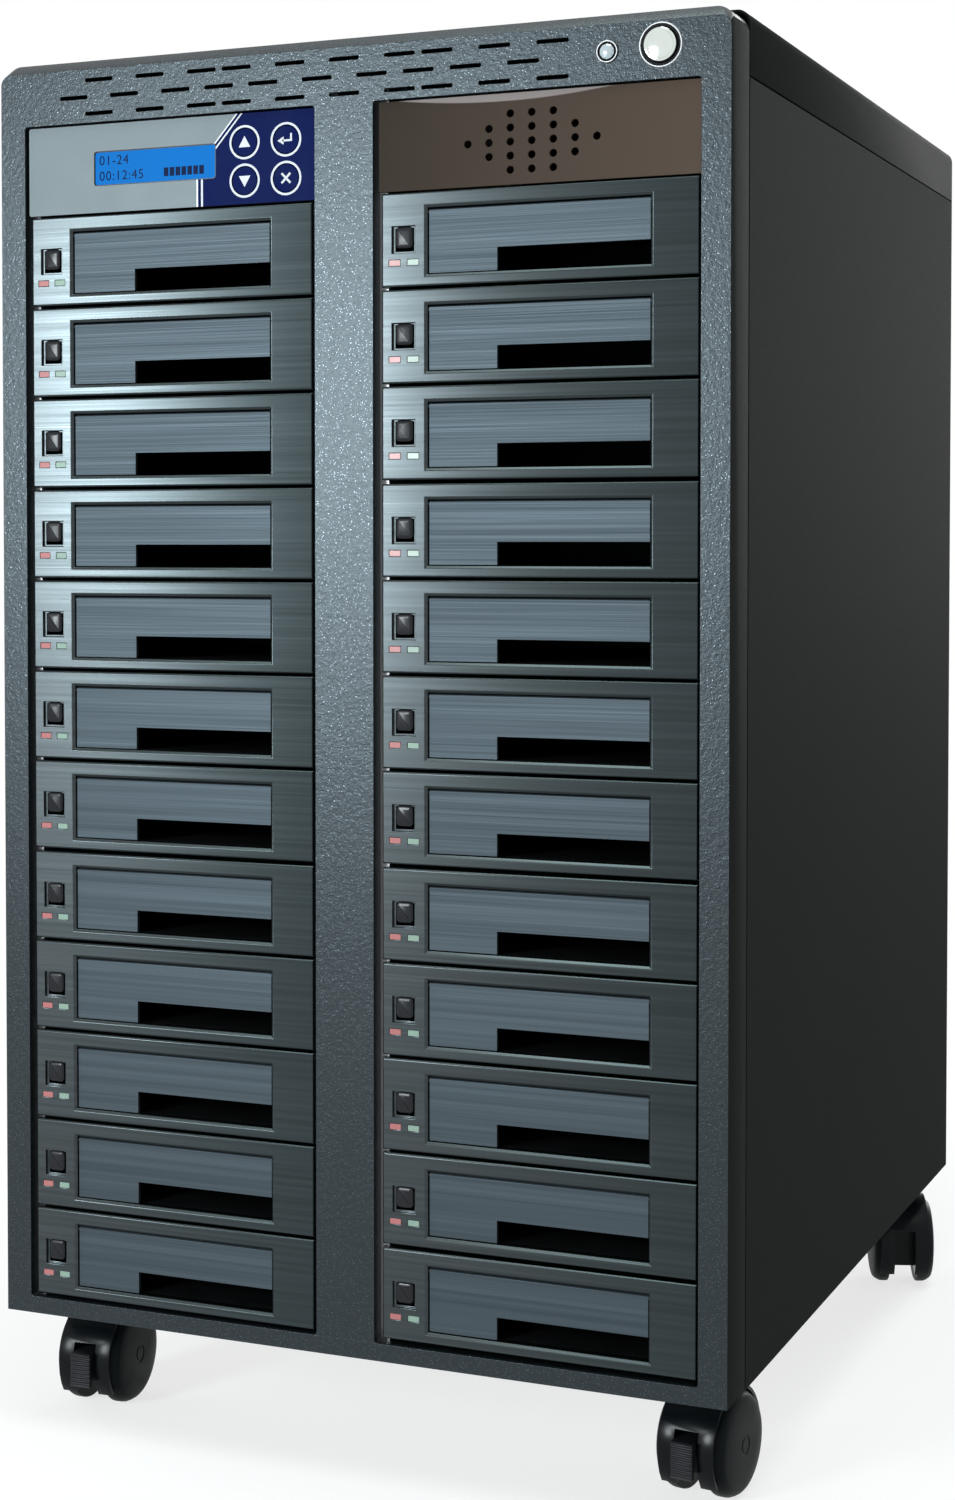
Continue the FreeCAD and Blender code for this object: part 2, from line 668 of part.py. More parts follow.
def rack_door():
    """Flap that hangs on two pins, with the slot for a small drive cut out of its lower right."""
    x_range = (DOOR_LEFT, DOOR_LEFT + door_width)
    y_range = (DOOR_SET_BACK, DOOR_SET_BACK + DOOR_THICKNESS)
    flap = box(x_range, y_range, (-DOOR_TOP - door_height, -DOOR_TOP))
    top_edges = [edge for edge in flap.Edges if all(abs(v.Z + DOOR_TOP) < 1e-6 for v in edge.Vertexes)]
    long_edges = [edge for edge in top_edges if edge.Length > door_width / 2]
    flap = flap.makeChamfer(DOOR_EDGE_BEVEL, long_edges)
    slot_x = (x_range[1] - SLOT_WIDTH, x_range[1] + DOOR_GAP)
    slot_z = (-DOOR_TOP - door_height - DOOR_GAP, -DOOR_TOP - door_height + SLOT_HEIGHT)
    flap = flap.cut(box(slot_x, (0, BEZEL_THICKNESS), slot_z))
    pin_x = (x_range[0] - DOOR_PIN_LENGTH, x_range[1] + DOOR_PIN_LENGTH)
    for ends in ((pin_x[0], x_range[0]), (x_range[1], pin_x[1])):
        flap = flap.fuse(rod(DOOR_PIN_RADIUS, ends, pivot_y, pivot_z))
    return flap


def rack_push_button():
    """Crowned cap whose flange keeps it behind the bezel."""
    shank_x, shank_z = push_ranges()
    flange_x, flange_z = push_ranges(PUSH_FLANGE)
    back = BEZEL_THICKNESS + SEAT_GAP
    cap = box(shank_x, (back - PUSH_LENGTH, back), shank_z)
    cap = cap.makeChamfer(PUSH_CROWN, front_edges(cap, back - PUSH_LENGTH))
    return cap.fuse(box(flange_x, (back, back + PUSH_FLANGE_THICKNESS), flange_z))


def rack_lenses():
    """The two small light windows of one rack."""
    lenses = []
    for left in LENS_LEFTS:
        x_range = (left + LENS_GAP, left + LENS_WIDTH - LENS_GAP)
        z_range = (-LENS_TOP - LENS_HEIGHT + LENS_GAP, -LENS_TOP - LENS_GAP)
        lenses.append(box(x_range, (LENS_GAP, LENS_LENGTH), z_range))
    return lenses


def rack_cage():
    """Sleeve behind the bezel: the drive channel between two side pockets, open at both ends."""
    depth = (BEZEL_THICKNESS, BEZEL_THICKNESS + CAGE_DEPTH)
    right = CAGE_SIDE_INSET + cage_width
    outer_z = (-CAGE_TOP_INSET - cage_height, -CAGE_TOP_INSET)
    inner_z = (outer_z[0] + CAGE_WALL, outer_z[1] - CAGE_WALL)
    cage = box((CAGE_SIDE_INSET, right), depth, outer_z)
    left_pocket = box((CAGE_SIDE_INSET + CAGE_WALL, channel_x[0] - CAGE_WALL), depth, inner_z)
    right_pocket = box((channel_x[1] + CAGE_WALL, right - CAGE_WALL), depth, inner_z)
    return cage.cut([left_pocket, right_pocket, box(channel_x, depth, channel_z)])


def rack_backplane():
    """Board across the rear of the cage, with the drive connector in the channel's lower left."""
    back = BEZEL_THICKNESS + CAGE_DEPTH
    board_x = (channel_x[0] - BACKPLANE_MARGIN, channel_x[1] + BACKPLANE_MARGIN)
    board_z = (-CAGE_TOP_INSET - cage_height + CAGE_WALL, -CAGE_TOP_INSET - CAGE_WALL)
    board = box(board_x, (back, back + BACKPLANE_SHEET), board_z)
    plug_x = (channel_x[0] + CONNECTOR_LEFT, channel_x[0] + CONNECTOR_LEFT + CONNECTOR_WIDTH)
    plug_z = (channel_z[0] + CAGE_WALL, channel_z[0] + CAGE_WALL + CONNECTOR_HEIGHT)
    return board.fuse(box(plug_x, (back - CONNECTOR_LENGTH, back), plug_z))


def racks():
    """Place the rack pieces in every bay, each door in a node of its own."""
    everywhere = rack_places()
    bezel = rack_bezel()
    cage = rack_cage()
    button = rack_push_button()
    export("rack_bezels", *[placed(bezel, *place) for place in everywhere])
    export("rack_cages", *[placed(cage, *place) for place in everywhere])
    lenses = [placed(lens, *place) for place in everywhere for lens in rack_lenses()]
    export("light_lenses", power_light(), *lenses)
    for name, column in (("rack_buttons_left", "L"), ("rack_buttons_right", "R")):
        export(name, *[placed(button, *place) for place in rack_places((column,))])
    door = rack_door()
    for column in COLUMNS:
        for row in range(1, BAY_ROWS):
            export("rack_door_{}{:02d}".format(column, row), placed(door, *rack_place(column, row)))


# Control panel


def panel_place():
    """Upper left front corner of the control panel."""
    centre = COLUMN_SIDE["L"] * opening_pitch / 2 + PANEL_SHIFT
    return centre - panel_width / 2, bezel_y, opening_top - PANEL_DROP


def key_places():
    """Node name and local centre (x, z) of each round key."""
    return [(name, panel_width - KEY_RIGHT - column * KEY_PITCH_X, -KEY_TOP - row * KEY_PITCH_Z)
            for name, column, row in KEY_NAMES]


def control_panel():
    """Panel with its display and keys; the housing behind the plate fills the bay like a rack.

    The display's board reaches behind the keys and carries the four small switches that they press.
    """
    place = panel_place()
    window_right = panel_width - DISPLAY_RIGHT
    window_x = (window_right - DISPLAY_WIDTH, window_right)
    window_z = (-DISPLAY_TOP - DISPLAY_HEIGHT, -DISPLAY_TOP)
    plate = rounded_block((0, panel_width), (0, PANEL_PLATE), (-panel_height, 0), PANEL_CORNER, PANEL_CORNER)
    tub_left = column_centre("L") - cage_width / 2 - place[0]
    tub_x = (tub_left, tub_left + cage_width)
    tub_z = (-panel_height + SEAT_GAP, -SEAT_GAP)
    tub = box(tub_x, (PANEL_PLATE, PANEL_DEPTH), tub_z)
    hollow = box((tub_x[0] + PANEL_WALL, tub_x[1] - PANEL_WALL), (PANEL_PLATE, PANEL_DEPTH),
                 (tub_z[0] + PANEL_WALL, tub_z[1] - PANEL_WALL))
    window = box((window_x[0] - LENS_GAP, window_x[1] + LENS_GAP), (0, PANEL_PLATE),
                 (window_z[0] - LENS_GAP, window_z[1] + LENS_GAP))
    holes = [barrel(KEY_RADIUS + SLIDE_GAP, (0, PANEL_PLATE), x, z, True) for _, x, z in key_places()]
    panel = plate.fuse(tub.cut(hollow)).cut([window] + holes)
    export("control_panel", placed(panel, *place))

    glass = box(window_x, (DISPLAY_SET_BACK, PANEL_PLATE), window_z)
    module_x = (window_x[0] - MODULE_BORDER, window_x[1] + MODULE_BORDER)
    module_z = (window_z[0] - MODULE_BORDER, window_z[1] + MODULE_BORDER)
    module_back = PANEL_PLATE + MODULE_DEPTH
    module = box(module_x, (PANEL_PLATE, module_back), module_z)
    board_x = (module_x[0], tub_x[1] - PANEL_WALL)
    module = module.fuse([glass, box(board_x, (module_back, module_back + BACKPLANE_SHEET), module_z)])
    flange_back = PANEL_PLATE + LENS_GAP + KEY_FLANGE
    for _, x, z in key_places():
        switch_x = (x - KEY_SWITCH_HALF, x + KEY_SWITCH_HALF)
        switch_z = (z - KEY_SWITCH_HALF, z + KEY_SWITCH_HALF)
        module = module.fuse(box(switch_x, (flange_back + KEY_TRAVEL, module_back), switch_z))
    export("display_module", placed(module.removeSplitter(), *place))

    for name, x, z in key_places():
        cap = barrel(KEY_RADIUS, (0, PANEL_PLATE + LENS_GAP), x, z)
        flange_x = (x - KEY_FLANGE_HALF, x + KEY_FLANGE_HALF)
        flange_z = (z - KEY_FLANGE_HALF, z + KEY_FLANGE_HALF)
        flange = box(flange_x, (PANEL_PLATE + LENS_GAP, flange_back), flange_z)
        export(name, placed(cap.fuse(flange), *place))


def blank_panel():
    """Perforated blank: a sheet folded back along both sides, with a diamond of round holes."""
    centre = COLUMN_SIDE["R"] * opening_pitch / 2 + BLANK_SHIFT
    top = opening_top - BLANK_DROP
    middle = top - blank_height / 2
    depth = (bezel_y, bezel_y + BLANK_SHEET)
    blank = box((centre - blank_width / 2, centre + blank_width / 2), depth, (top - blank_height, top))
    fold_y = (bezel_y, rail_front + BLANK_FLANGE)
    for side in (-1, 1):
        outer = column_centre("R") + side * cage_width / 2
        inner = outer - side * BLANK_SHEET
        blank = blank.fuse(box((min(outer, inner), max(outer, inner)), fold_y, (top - blank_height, top)))
    cutters = []
    for column, count in enumerate(PERFORATION_COLUMNS):
        x = centre + PERFORATION_SHIFT_X + (column - (len(PERFORATION_COLUMNS) - 1) / 2) * PERFORATION_PITCH_X
        for row in range(count):
            z = middle + PERFORATION_SHIFT_Z + (row - (count - 1) / 2) * PERFORATION_PITCH_Z
            cutters.append(barrel(PERFORATION_RADIUS, depth, x, z))
    export("blank_panel", blank.cut(cutters).removeSplitter())


# Inside the cabinet


def inlet_ranges():
    """X and Z ranges of the power inlet's socket."""
    (x0, _), _, (_, z1) = supply_ranges()
    left = x0 + SUPPLY_MARGIN + INLET_EDGE
    top = z1 - SUPPLY_MARGIN - INLET_EDGE
    return (left, left + INLET_WIDTH), (top - INLET_HEIGHT, top)


def power_supply():
    """Supply block with vent slots and a three-blade inlet socket in its rear face."""
    x_range, y_range, z_range = supply_ranges()
    rear = y_range[1]
    supply = box(x_range, y_range, z_range)
    (x0, x1), (z0, z1) = inlet_ranges()
    outline = ((x0, z0), (x1, z0), (x1, z1 - INLET_CORNER), (x1 - INLET_CORNER, z1),
               (x0 + INLET_CORNER, z1), (x0, z1 - INLET_CORNER))
    cutters = [front_profile(outline, (rear - INLET_DEPTH, rear))]
    slot_right = x_range[1] - SUPPLY_MARGIN - INLET_EDGE
    for index in range(SUPPLY_SLOT_COUNT):
        low = z_range[0] + SUPPLY_MARGIN + INLET_EDGE + index * SUPPLY_SLOT_PITCH
        cutters.append(box((slot_right - SUPPLY_SLOT_WIDTH, slot_right), (rear - SUPPLY_SLOT_DEPTH, rear),
                           (low, low + SUPPLY_SLOT_HEIGHT)))
    supply = supply.cut(cutters)
    middle = (x0 + x1) / 2
    blade_y = (rear - INLET_DEPTH, rear - INLET_DEPTH + BLADE_LENGTH)
    for step, rise in ((-1, 0), (0, BLADE_RISE), (1, 0)):
        x = middle + step * BLADE_PITCH
        z = (z0 + z1) / 2 + rise
        blade = box((x - BLADE_THICKNESS / 2, x + BLADE_THICKNESS / 2), blade_y,
                    (z - BLADE_WIDTH / 2, z + BLADE_WIDTH / 2))
        supply = supply.fuse(blade)
    export("power_supply", supply)


def circuit_boards():
    """The controller board on its posts, and one backplane behind each rack."""
    left = COLUMN_SIDE["R"] * opening_pitch / 2 - BOARD_WIDTH / 2
    x_range = (left, left + BOARD_WIDTH)
    y_range = (rear_y - SUPPLY_MARGIN - BOARD_DEPTH, rear_y - SUPPLY_MARGIN)
    board_z = pan_top + BOARD_POST
    board = box(x_range, y_range, (board_z, board_z + BOARD_SHEET))
    chip_x, chip_y = [(sum(ends) - CHIP_SIZE) / 2 for ends in (x_range, y_range)]
    chip_z = board_z + BOARD_SHEET
    chip = box((chip_x, chip_x + CHIP_SIZE), (chip_y, chip_y + CHIP_SIZE), (chip_z, chip_z + CHIP_HEIGHT))
    board = board.fuse(chip)
    for x in (x_range[0] + BOARD_POST_EDGE, x_range[1] - BOARD_POST_EDGE):
        for y in (y_range[0] + BOARD_POST_EDGE, y_range[1] - BOARD_POST_EDGE):
            post_x = (x - BOARD_POST_HALF, x + BOARD_POST_HALF)
            post_y = (y - BOARD_POST_HALF, y + BOARD_POST_HALF)
            board = board.fuse(box(post_x, post_y, (pan_top, board_z)))
    backplane = rack_backplane()
    export("circuit_boards", board, *[placed(backplane, *place) for place in rack_places()])


def fan():
    """Square fan frame with its ducted rotor, behind the guard in the rear panel."""
    half = FAN_SIZE / 2
    y_range = (rear_y - SHEET - FAN_DEPTH, rear_y - SHEET)
    strut_y = (y_range[0], y_range[0] + FAN_STRUT_DEPTH)
    duct = barrel(FAN_DUCT_RADIUS, y_range, 0, 0)
    frame = box((-half, half), y_range, (-half, half)).cut(duct)
    reach = FAN_DUCT_RADIUS + SHEET
    struts = box((-reach, reach), strut_y, (-FAN_STRUT / 2, FAN_STRUT / 2))
    struts = struts.fuse(box((-FAN_STRUT / 2, FAN_STRUT / 2), strut_y, (-reach, reach)))
    struts = struts.fuse(barrel(FAN_HUB_RADIUS, strut_y, 0, 0))
    frame = frame.fuse(struts).cut(barrel(FAN_SHAFT_RADIUS + PIN_GAP, strut_y, 0, 0, True))
    export("fan_frame", placed(frame, 0, 0, FAN_HEIGHT))

    rotor_y = (strut_y[1] + SLIDE_GAP, y_range[1] - FAN_TIP_GAP)
    rotor = barrel(FAN_HUB_RADIUS, rotor_y, 0, 0)
    middle = sum(rotor_y) / 2
    tip = barrel(FAN_DUCT_RADIUS - FAN_TIP_GAP, rotor_y, 0, 0)
    span = (FAN_HUB_RADIUS / 2, FAN_DUCT_RADIUS)
    for index in range(FAN_BLADES):
        blade = box(span, (middle - FAN_BLADE_CHORD / 2, middle + FAN_BLADE_CHORD / 2),
                    (-FAN_BLADE_THICKNESS / 2, FAN_BLADE_THICKNESS / 2))
        blade.rotate(Vector(0, middle, 0), Vector(1, 0, 0), FAN_BLADE_PITCH)
        blade.rotate(Vector(0, 0, 0), Vector(0, 1, 0), index * 360.0 / FAN_BLADES)
        rotor = rotor.fuse(blade.common(tip))
    rotor = rotor.fuse(barrel(FAN_SHAFT_RADIUS, (strut_y[0], rotor_y[0]), 0, 0))
    export("fan_rotor", placed(rotor, 0, 0, FAN_HEIGHT))


# Casters: local origin on the floor under the swivel axis; the wheels trail towards -Y, as after backing up


def caster_place(corner):
    """X, Y and yaw of one caster's swivel axis."""
    reach = cabinet_width / 2 - CASTER_SIDE_INSET
    x = reach if "right" in corner else -reach
    y = front_y + CASTER_FRONT_INSET if "front" in corner else rear_y - CASTER_REAR_INSET
    return x, y, CASTER_YAWS[corner]


def on_caster(shape, corner):
    """Copy of a locally built caster piece, turned about its swivel axis and moved to its corner."""
    x, y, yaw = caster_place(corner)
    copy = shape.copy()
    copy.rotate(Vector(0, 0, 0), Vector(0, 0, 1), yaw)
    copy.translate(Vector(x, y, 0))
    return copy


def rim_point(radius, angle):
    """(y, z) of a point around the wheel's centre; the angle rises from the front of the wheel."""
    turn = math.radians(angle)
    return -CASTER_TRAIL - radius * math.cos(turn), WHEEL_RADIUS + radius * math.sin(turn)


def rim_arc(radius):
    """Points of the arc around the wheel from the hood's front end over the top to its rear end."""
    span = HOOD_REAR_ANGLE - HOOD_FRONT_ANGLE
    steps = round(side_count(hood_radius) * span / 360)
    return [rim_point(radius, HOOD_FRONT_ANGLE + span * step / steps) for step in range(steps + 1)]


def caster_housing():
    """Hood over both wheels with its middle web, swivel hub and stem, slotted in front for the lever."""
    hood_outline = rim_arc(hood_radius) + rim_arc(wheel_inside_hood)[::-1]
    hood = side_profile(hood_outline, (-HOOD_HALF_WIDTH, HOOD_HALF_WIDTH))
    web = side_profile(rim_arc(wheel_inside_hood + HOOD_WALL / 2), (-WEB_HALF_WIDTH, WEB_HALF_WIDTH))
    housing = hood.fuse(web)
    housing = housing.fuse(post(HUB_RADIUS, (WHEEL_RADIUS, race_top - RACE_THICKNESS)))
    slot_y = (-CASTER_TRAIL - hood_radius - HOOD_WALL, -CASTER_TRAIL - LEVER_SLOT_BACK)
    slot_z = (0, WHEEL_RADIUS + LEVER_SLOT_TOP)
    slot = box((-LEVER_SLOT_WIDTH / 2, LEVER_SLOT_WIDTH / 2), slot_y, slot_z)
    web_x = (-WEB_HALF_WIDTH, WEB_HALF_WIDTH)
    axle_bore = rod(AXLE_RADIUS + PIN_GAP, web_x, -CASTER_TRAIL, WHEEL_RADIUS, True)
    housing = housing.cut([slot, axle_bore])
    race = post(RACE_RADIUS, (race_top - RACE_THICKNESS, race_top))
    stem = post(STEM_RADIUS, (race_top, pan_bottom - LENS_GAP))
    return housing.fuse([race, stem]).removeSplitter()


def lever_pivot(radius, half_length, around=False):
    """Round bar across the web at the lever's pivot: its pin, its boss or the bore for the pin."""
    y = -CASTER_TRAIL + LEVER_PIVOT_Y
    z = WHEEL_RADIUS + LEVER_PIVOT_Z
    return rod(radius, (-half_length, half_length), y, z, around)


def caster_wheels():
    """Two wheels with domed outer faces, and the axle between them."""
    stations = ((WHEEL_INNER_X, WHEEL_RADIUS), (WHEEL_TREAD_X, WHEEL_RADIUS),
                (WHEEL_RIM_X, WHEEL_RIM_RADIUS), (WHEEL_FACE_X, WHEEL_FACE_RADIUS))
    right = turned(stations, -CASTER_TRAIL, WHEEL_RADIUS)
    left = right.mirror(Vector(0, 0, 0), Vector(1, 0, 0))
    axle = rod(AXLE_RADIUS, (-WHEEL_INNER_X, WHEEL_INNER_X), -CASTER_TRAIL, WHEEL_RADIUS)
    return right, left, axle


def brake_lever():
    """Ribbed pad on a short arm that turns on a pin inside the hood's slot."""
    back = LEVER_PAD_THICKNESS - LEVER_PAD_FRONT
    pitch = (LEVER_PAD_HIGH - LEVER_PAD_LOW) / LEVER_RIBS
    points = [(back, LEVER_PAD_HIGH), (back, LEVER_PAD_LOW)]
    for rib in range(LEVER_RIBS):
        low = LEVER_PAD_LOW + rib * pitch
        points.append((LEVER_RIB_DEPTH - LEVER_PAD_FRONT, low))
        points.append((-LEVER_PAD_FRONT, low + pitch / 2))
    points.append((LEVER_RIB_DEPTH - LEVER_PAD_FRONT, LEVER_PAD_HIGH))
    outline = [(y - CASTER_TRAIL, z + WHEEL_RADIUS) for y, z in points]
    half = LEVER_WIDTH / 2
    pad = side_profile(outline, (-half, half))
    boss = lever_pivot(LEVER_BOSS_RADIUS, half)
    arm_y = (back - CASTER_TRAIL, -CASTER_TRAIL + LEVER_PIVOT_Y)
    arm = box((-half, half), arm_y, (boss.BoundBox.ZMin, WHEEL_RADIUS + LEVER_PAD_HIGH))
    return pad.fuse([arm, boss, lever_pivot(LEVER_PIN_RADIUS, WEB_HALF_WIDTH)]).removeSplitter()


def casters():
    """Four casters, of which the front two carry brake levers, and their mounting plates."""
    housing = caster_housing()
    braked = housing.cut(lever_pivot(LEVER_PIN_RADIUS + PIN_GAP, WEB_HALF_WIDTH, True))
    wheels = caster_wheels()
    lever = brake_lever()
    half = CASTER_PLATE / 2
    plate = box((-half, half), (-half, half), (plate_bottom, pan_bottom))
    plate = plate.cut(post(STEM_RADIUS + PIN_GAP, (plate_bottom, pan_bottom), around=True))
    plates = []
    for corner in CASTER_YAWS:
        x, y, _ = caster_place(corner)
        plates.append(placed(plate, x, y, 0))
        has_lever = "front" in corner
        export("caster_housing_" + corner, on_caster(braked if has_lever else housing, corner))
        export("caster_wheels_" + corner, *[on_caster(piece, corner) for piece in wheels])
        if has_lever:
            export("brake_lever_" + corner, on_caster(lever, corner))
    export("caster_plates", *plates)


os.makedirs("parts", exist_ok=True)
front_frame()
base_pan()
top_cover()
side_panels()
rear_panel()
bay_rails()
power_switch()
racks()
control_panel()
blank_panel()
power_supply()
circuit_boards()
fan()
casters()
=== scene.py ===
# %% [markdown]
# # Dressing a disk duplicator tower
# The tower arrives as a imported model: a sheet-metal cabinet, two columns of drive racks, a small
# control panel and four twin-wheel casters. This lesson gives each of those pieces its real finish
# and adds the small things that only the eye needs, such as printed symbols, crowns and soft edges.
# All lengths are metres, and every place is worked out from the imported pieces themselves.

import json
import math

import bmesh
import bpy
from mathutils import Matrix, Vector

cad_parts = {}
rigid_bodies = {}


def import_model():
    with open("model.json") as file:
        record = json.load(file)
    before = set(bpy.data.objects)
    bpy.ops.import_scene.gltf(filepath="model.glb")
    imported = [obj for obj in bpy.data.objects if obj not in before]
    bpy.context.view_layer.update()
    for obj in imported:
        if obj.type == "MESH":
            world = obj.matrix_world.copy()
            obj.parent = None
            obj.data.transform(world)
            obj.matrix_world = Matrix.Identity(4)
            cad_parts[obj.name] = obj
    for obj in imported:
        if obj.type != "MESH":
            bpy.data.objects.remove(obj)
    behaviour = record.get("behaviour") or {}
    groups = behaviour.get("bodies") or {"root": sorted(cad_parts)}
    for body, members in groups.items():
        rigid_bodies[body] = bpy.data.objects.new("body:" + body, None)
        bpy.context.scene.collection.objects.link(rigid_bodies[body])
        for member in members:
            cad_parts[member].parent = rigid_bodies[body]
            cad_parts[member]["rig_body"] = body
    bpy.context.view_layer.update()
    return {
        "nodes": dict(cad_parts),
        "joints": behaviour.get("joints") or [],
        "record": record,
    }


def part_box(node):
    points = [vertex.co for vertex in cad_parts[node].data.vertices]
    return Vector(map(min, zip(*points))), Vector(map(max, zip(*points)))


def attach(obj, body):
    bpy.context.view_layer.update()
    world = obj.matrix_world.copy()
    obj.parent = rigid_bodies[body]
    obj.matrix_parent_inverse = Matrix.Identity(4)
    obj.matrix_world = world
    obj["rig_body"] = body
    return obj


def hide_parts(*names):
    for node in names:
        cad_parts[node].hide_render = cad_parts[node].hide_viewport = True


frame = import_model()
nodes = frame["nodes"]
MM = 0.001

# %% [markdown]
# ## The camera
# The view stands a little to the right of the tower and slightly above its middle, and looks down
# by less than two degrees. The lens is long enough to keep the front nearly square. A small lens
# shift, as on a view camera, frames the tower without tilting it, so its upright edges stay upright.

# %% Place the camera
CAMERA_PLACE = (0.47777, -1.22117, 0.42600)
CAMERA_DOWN = 1.748
CAMERA_TURN = 22.818
LENS = 58.968
SHIFT_X = 0.00924
SHIFT_Y = -0.0879

camera = bpy.data.objects.new("camera", bpy.data.cameras.new("camera"))
bpy.context.scene.collection.objects.link(camera)
camera.location = CAMERA_PLACE
camera.rotation_euler = (math.radians(90 - CAMERA_DOWN), 0, math.radians(CAMERA_TURN))
camera.data.lens = LENS
camera.data.sensor_width = 36
camera.data.shift_x = SHIFT_X
camera.data.shift_y = SHIFT_Y
camera.data.clip_start = 0.01
bpy.context.scene.camera = camera
bpy.context.scene.view_settings.view_transform = "Standard"
print("camera distance in metres:", round(camera.location.length, 3))

# %% [markdown]
# ## Node helpers
# A material is a small graph. Writing every link by hand hides the idea, so a few helpers do the
# plumbing. One adds a node, and others stand for what turns up most: a sum, a change of range and a
# noise. Wherever a helper takes a value, that can be a number or another node's output, so a number can
# later be swapped for a texture without touching the rest.


# %% Helpers for shader graphs
def link(tree, out_socket, in_socket):
    tree.links.new(out_socket, in_socket)


def feed(tree, value, socket):
    """Give an input its value: a link from another node's output, or a constant."""
    if isinstance(value, bpy.types.NodeSocket):
        link(tree, value, socket)
    else:
        socket.default_value = value


def add_node(tree, kind, **values):
    """Add a node; keyword values set its properties, or its inputs where the name is an input."""
    node = tree.nodes.new("ShaderNode" + kind)
    for name, value in values.items():
        if hasattr(node, name):
            setattr(node, name, value)
        else:
            feed(tree, value, node.inputs[name.replace("_", " ")])
    return node


def calculate(tree, operation, *terms):
    """The result of a Math node."""
    node = add_node(tree, "Math", operation=operation)
    for term, socket in zip(terms, node.inputs):
        feed(tree, term, socket)
    return node.outputs[0]


def remap(tree, value, to_low, to_high, from_low=0.0, from_high=1.0, **values):
    """A value carried from one range to another."""
    node = add_node(tree, "MapRange", Value=value, From_Min=from_low, From_Max=from_high,
                    To_Min=to_low, To_Max=to_high, **values)
    return node.outputs["Result"]


def noise(tree, place, scale, detail=2.0, **values):
    node = add_node(tree, "TexNoise", Vector=place, Scale=scale, Detail=detail, **values)
    return node.outputs["Fac"]


print("helpers:", [helper.__name__ for helper in (link, feed, add_node, calculate, remap, noise)])

# %% [markdown]
# ## Shared surface effects
# Powder coat, brushing and moulded grain turn up on several finishes, so each is one node group with its
# own inputs. The groups only put out masks and heights that change over the surface. A noise scale is
# the number of its cells in a metre.


# %% Texture of a powder coat
def start_group(name, inputs, outputs):
    """A node group with a place and float inputs, and float outputs."""
    group = bpy.data.node_groups.new(name, "ShaderNodeTree")
    group.interface.new_socket("Vector", in_out="INPUT", socket_type="NodeSocketVector")
    for label, value in inputs.items():
        socket = group.interface.new_socket(label, in_out="INPUT", socket_type="NodeSocketFloat")
        socket.default_value = value
    for label in outputs:
        group.interface.new_socket(label, in_out="OUTPUT", socket_type="NodeSocketFloat")
    return group, group.nodes.new("NodeGroupInput").outputs, group.nodes.new("NodeGroupOutput").inputs


GRIT_SCALE = 1100.0
PEEL_SCALE = 520.0
SPECK_SCALE = 900.0
SPECK_REACH = 0.35
CLOUD_SCALE = 9.0


def make_powder_group():
    """Orange peel and fine grit of a baked powder coat, with a slow mask of thicker and thinner paint."""
    group, entry, out = start_group("powder_coat_texture", {"Grit Size": 1.0}, ("Height", "Sparkle", "Cloud"))
    place = entry["Vector"]
    fineness = calculate(group, "DIVIDE", 1.0, entry["Grit Size"])
    grit = noise(group, place, calculate(group, "MULTIPLY", fineness, GRIT_SCALE), 3.0, Roughness=0.6)
    peel = noise(group, place, PEEL_SCALE, 1.0)
    link(group, calculate(group, "ADD", grit, peel), out["Height"])
    speck = add_node(group, "TexVoronoi", Vector=place, Scale=SPECK_SCALE)
    link(group, remap(group, speck.outputs["Distance"], 1.0, 0.0, 0.0, SPECK_REACH), out["Sparkle"])
    link(group, noise(group, place, CLOUD_SCALE, 4.0), out["Cloud"])
    return group


powder_texture = make_powder_group()
print("powder coat puts out:", [item.name for item in powder_texture.interface.items_tree
                                if item.in_out == "OUTPUT"])

# %% Textures of brushing and mould
BAND_SHARE = 0.28
SMEAR_SCALE = 38.0


def make_brushed_group():
    """Hairlines drawn along X: noise stretched so far that each cell is one scratch."""
    group, entry, out = start_group("brushed_hairlines", {"Length": 6.0, "Line Count": 1800.0},
                                    ("Lines", "Bands"))
    stretch = add_node(group, "CombineXYZ", X=entry["Length"], Y=entry["Line Count"], Z=entry["Line Count"])
    stretched = add_node(group, "VectorMath", operation="MULTIPLY")
    link(group, entry["Vector"], stretched.inputs[0])
    link(group, stretch.outputs["Vector"], stretched.inputs[1])
    link(group, noise(group, stretched.outputs["Vector"], 1.0, Roughness=0.7), out["Lines"])
    wider = add_node(group, "VectorMath", operation="SCALE", Scale=BAND_SHARE)
    link(group, stretched.outputs["Vector"], wider.inputs[0])
    link(group, noise(group, wider.outputs["Vector"], 1.0, 3.0), out["Bands"])
    return group


def make_moulded_group():
    """Fine spark-eroded grain of moulded plastic, and the faint smears that handling leaves."""
    group, entry, out = start_group("moulded_grain", {"Grain": 2200.0}, ("Height", "Smear"))
    link(group, noise(group, entry["Vector"], entry["Grain"]), out["Height"])
    link(group, noise(group, entry["Vector"], SMEAR_SCALE, 4.0, Distortion=0.8), out["Smear"])
    return group


brushed_texture = make_brushed_group()
moulded_texture = make_moulded_group()
print("node groups:", [group.name for group in bpy.data.node_groups])

# %% [markdown]
# ## Where the racks stand
# Every rack has the same layout, so one finish can serve all twenty-four if it knows how far across
# its own rack a point lies. The bezels node starts at the left rack's edge, and a door tells how far in
# its flap begins, which gives the left edge of both columns without any measuring by hand.

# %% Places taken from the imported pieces
bezel_low, bezel_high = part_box("rack_bezels")
door_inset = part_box("rack_door_L01")[0].x - bezel_low.x
left_column_start = bezel_low.x
right_column_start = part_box("rack_door_R01")[0].x - door_inset
rack_width = bezel_high.x - right_column_start
print("rack width in mm:", round(rack_width / MM, 2))


def axis(tree, place, name):
    """One coordinate of a place."""
    return add_node(tree, "SeparateXYZ", Vector=place).outputs[name]


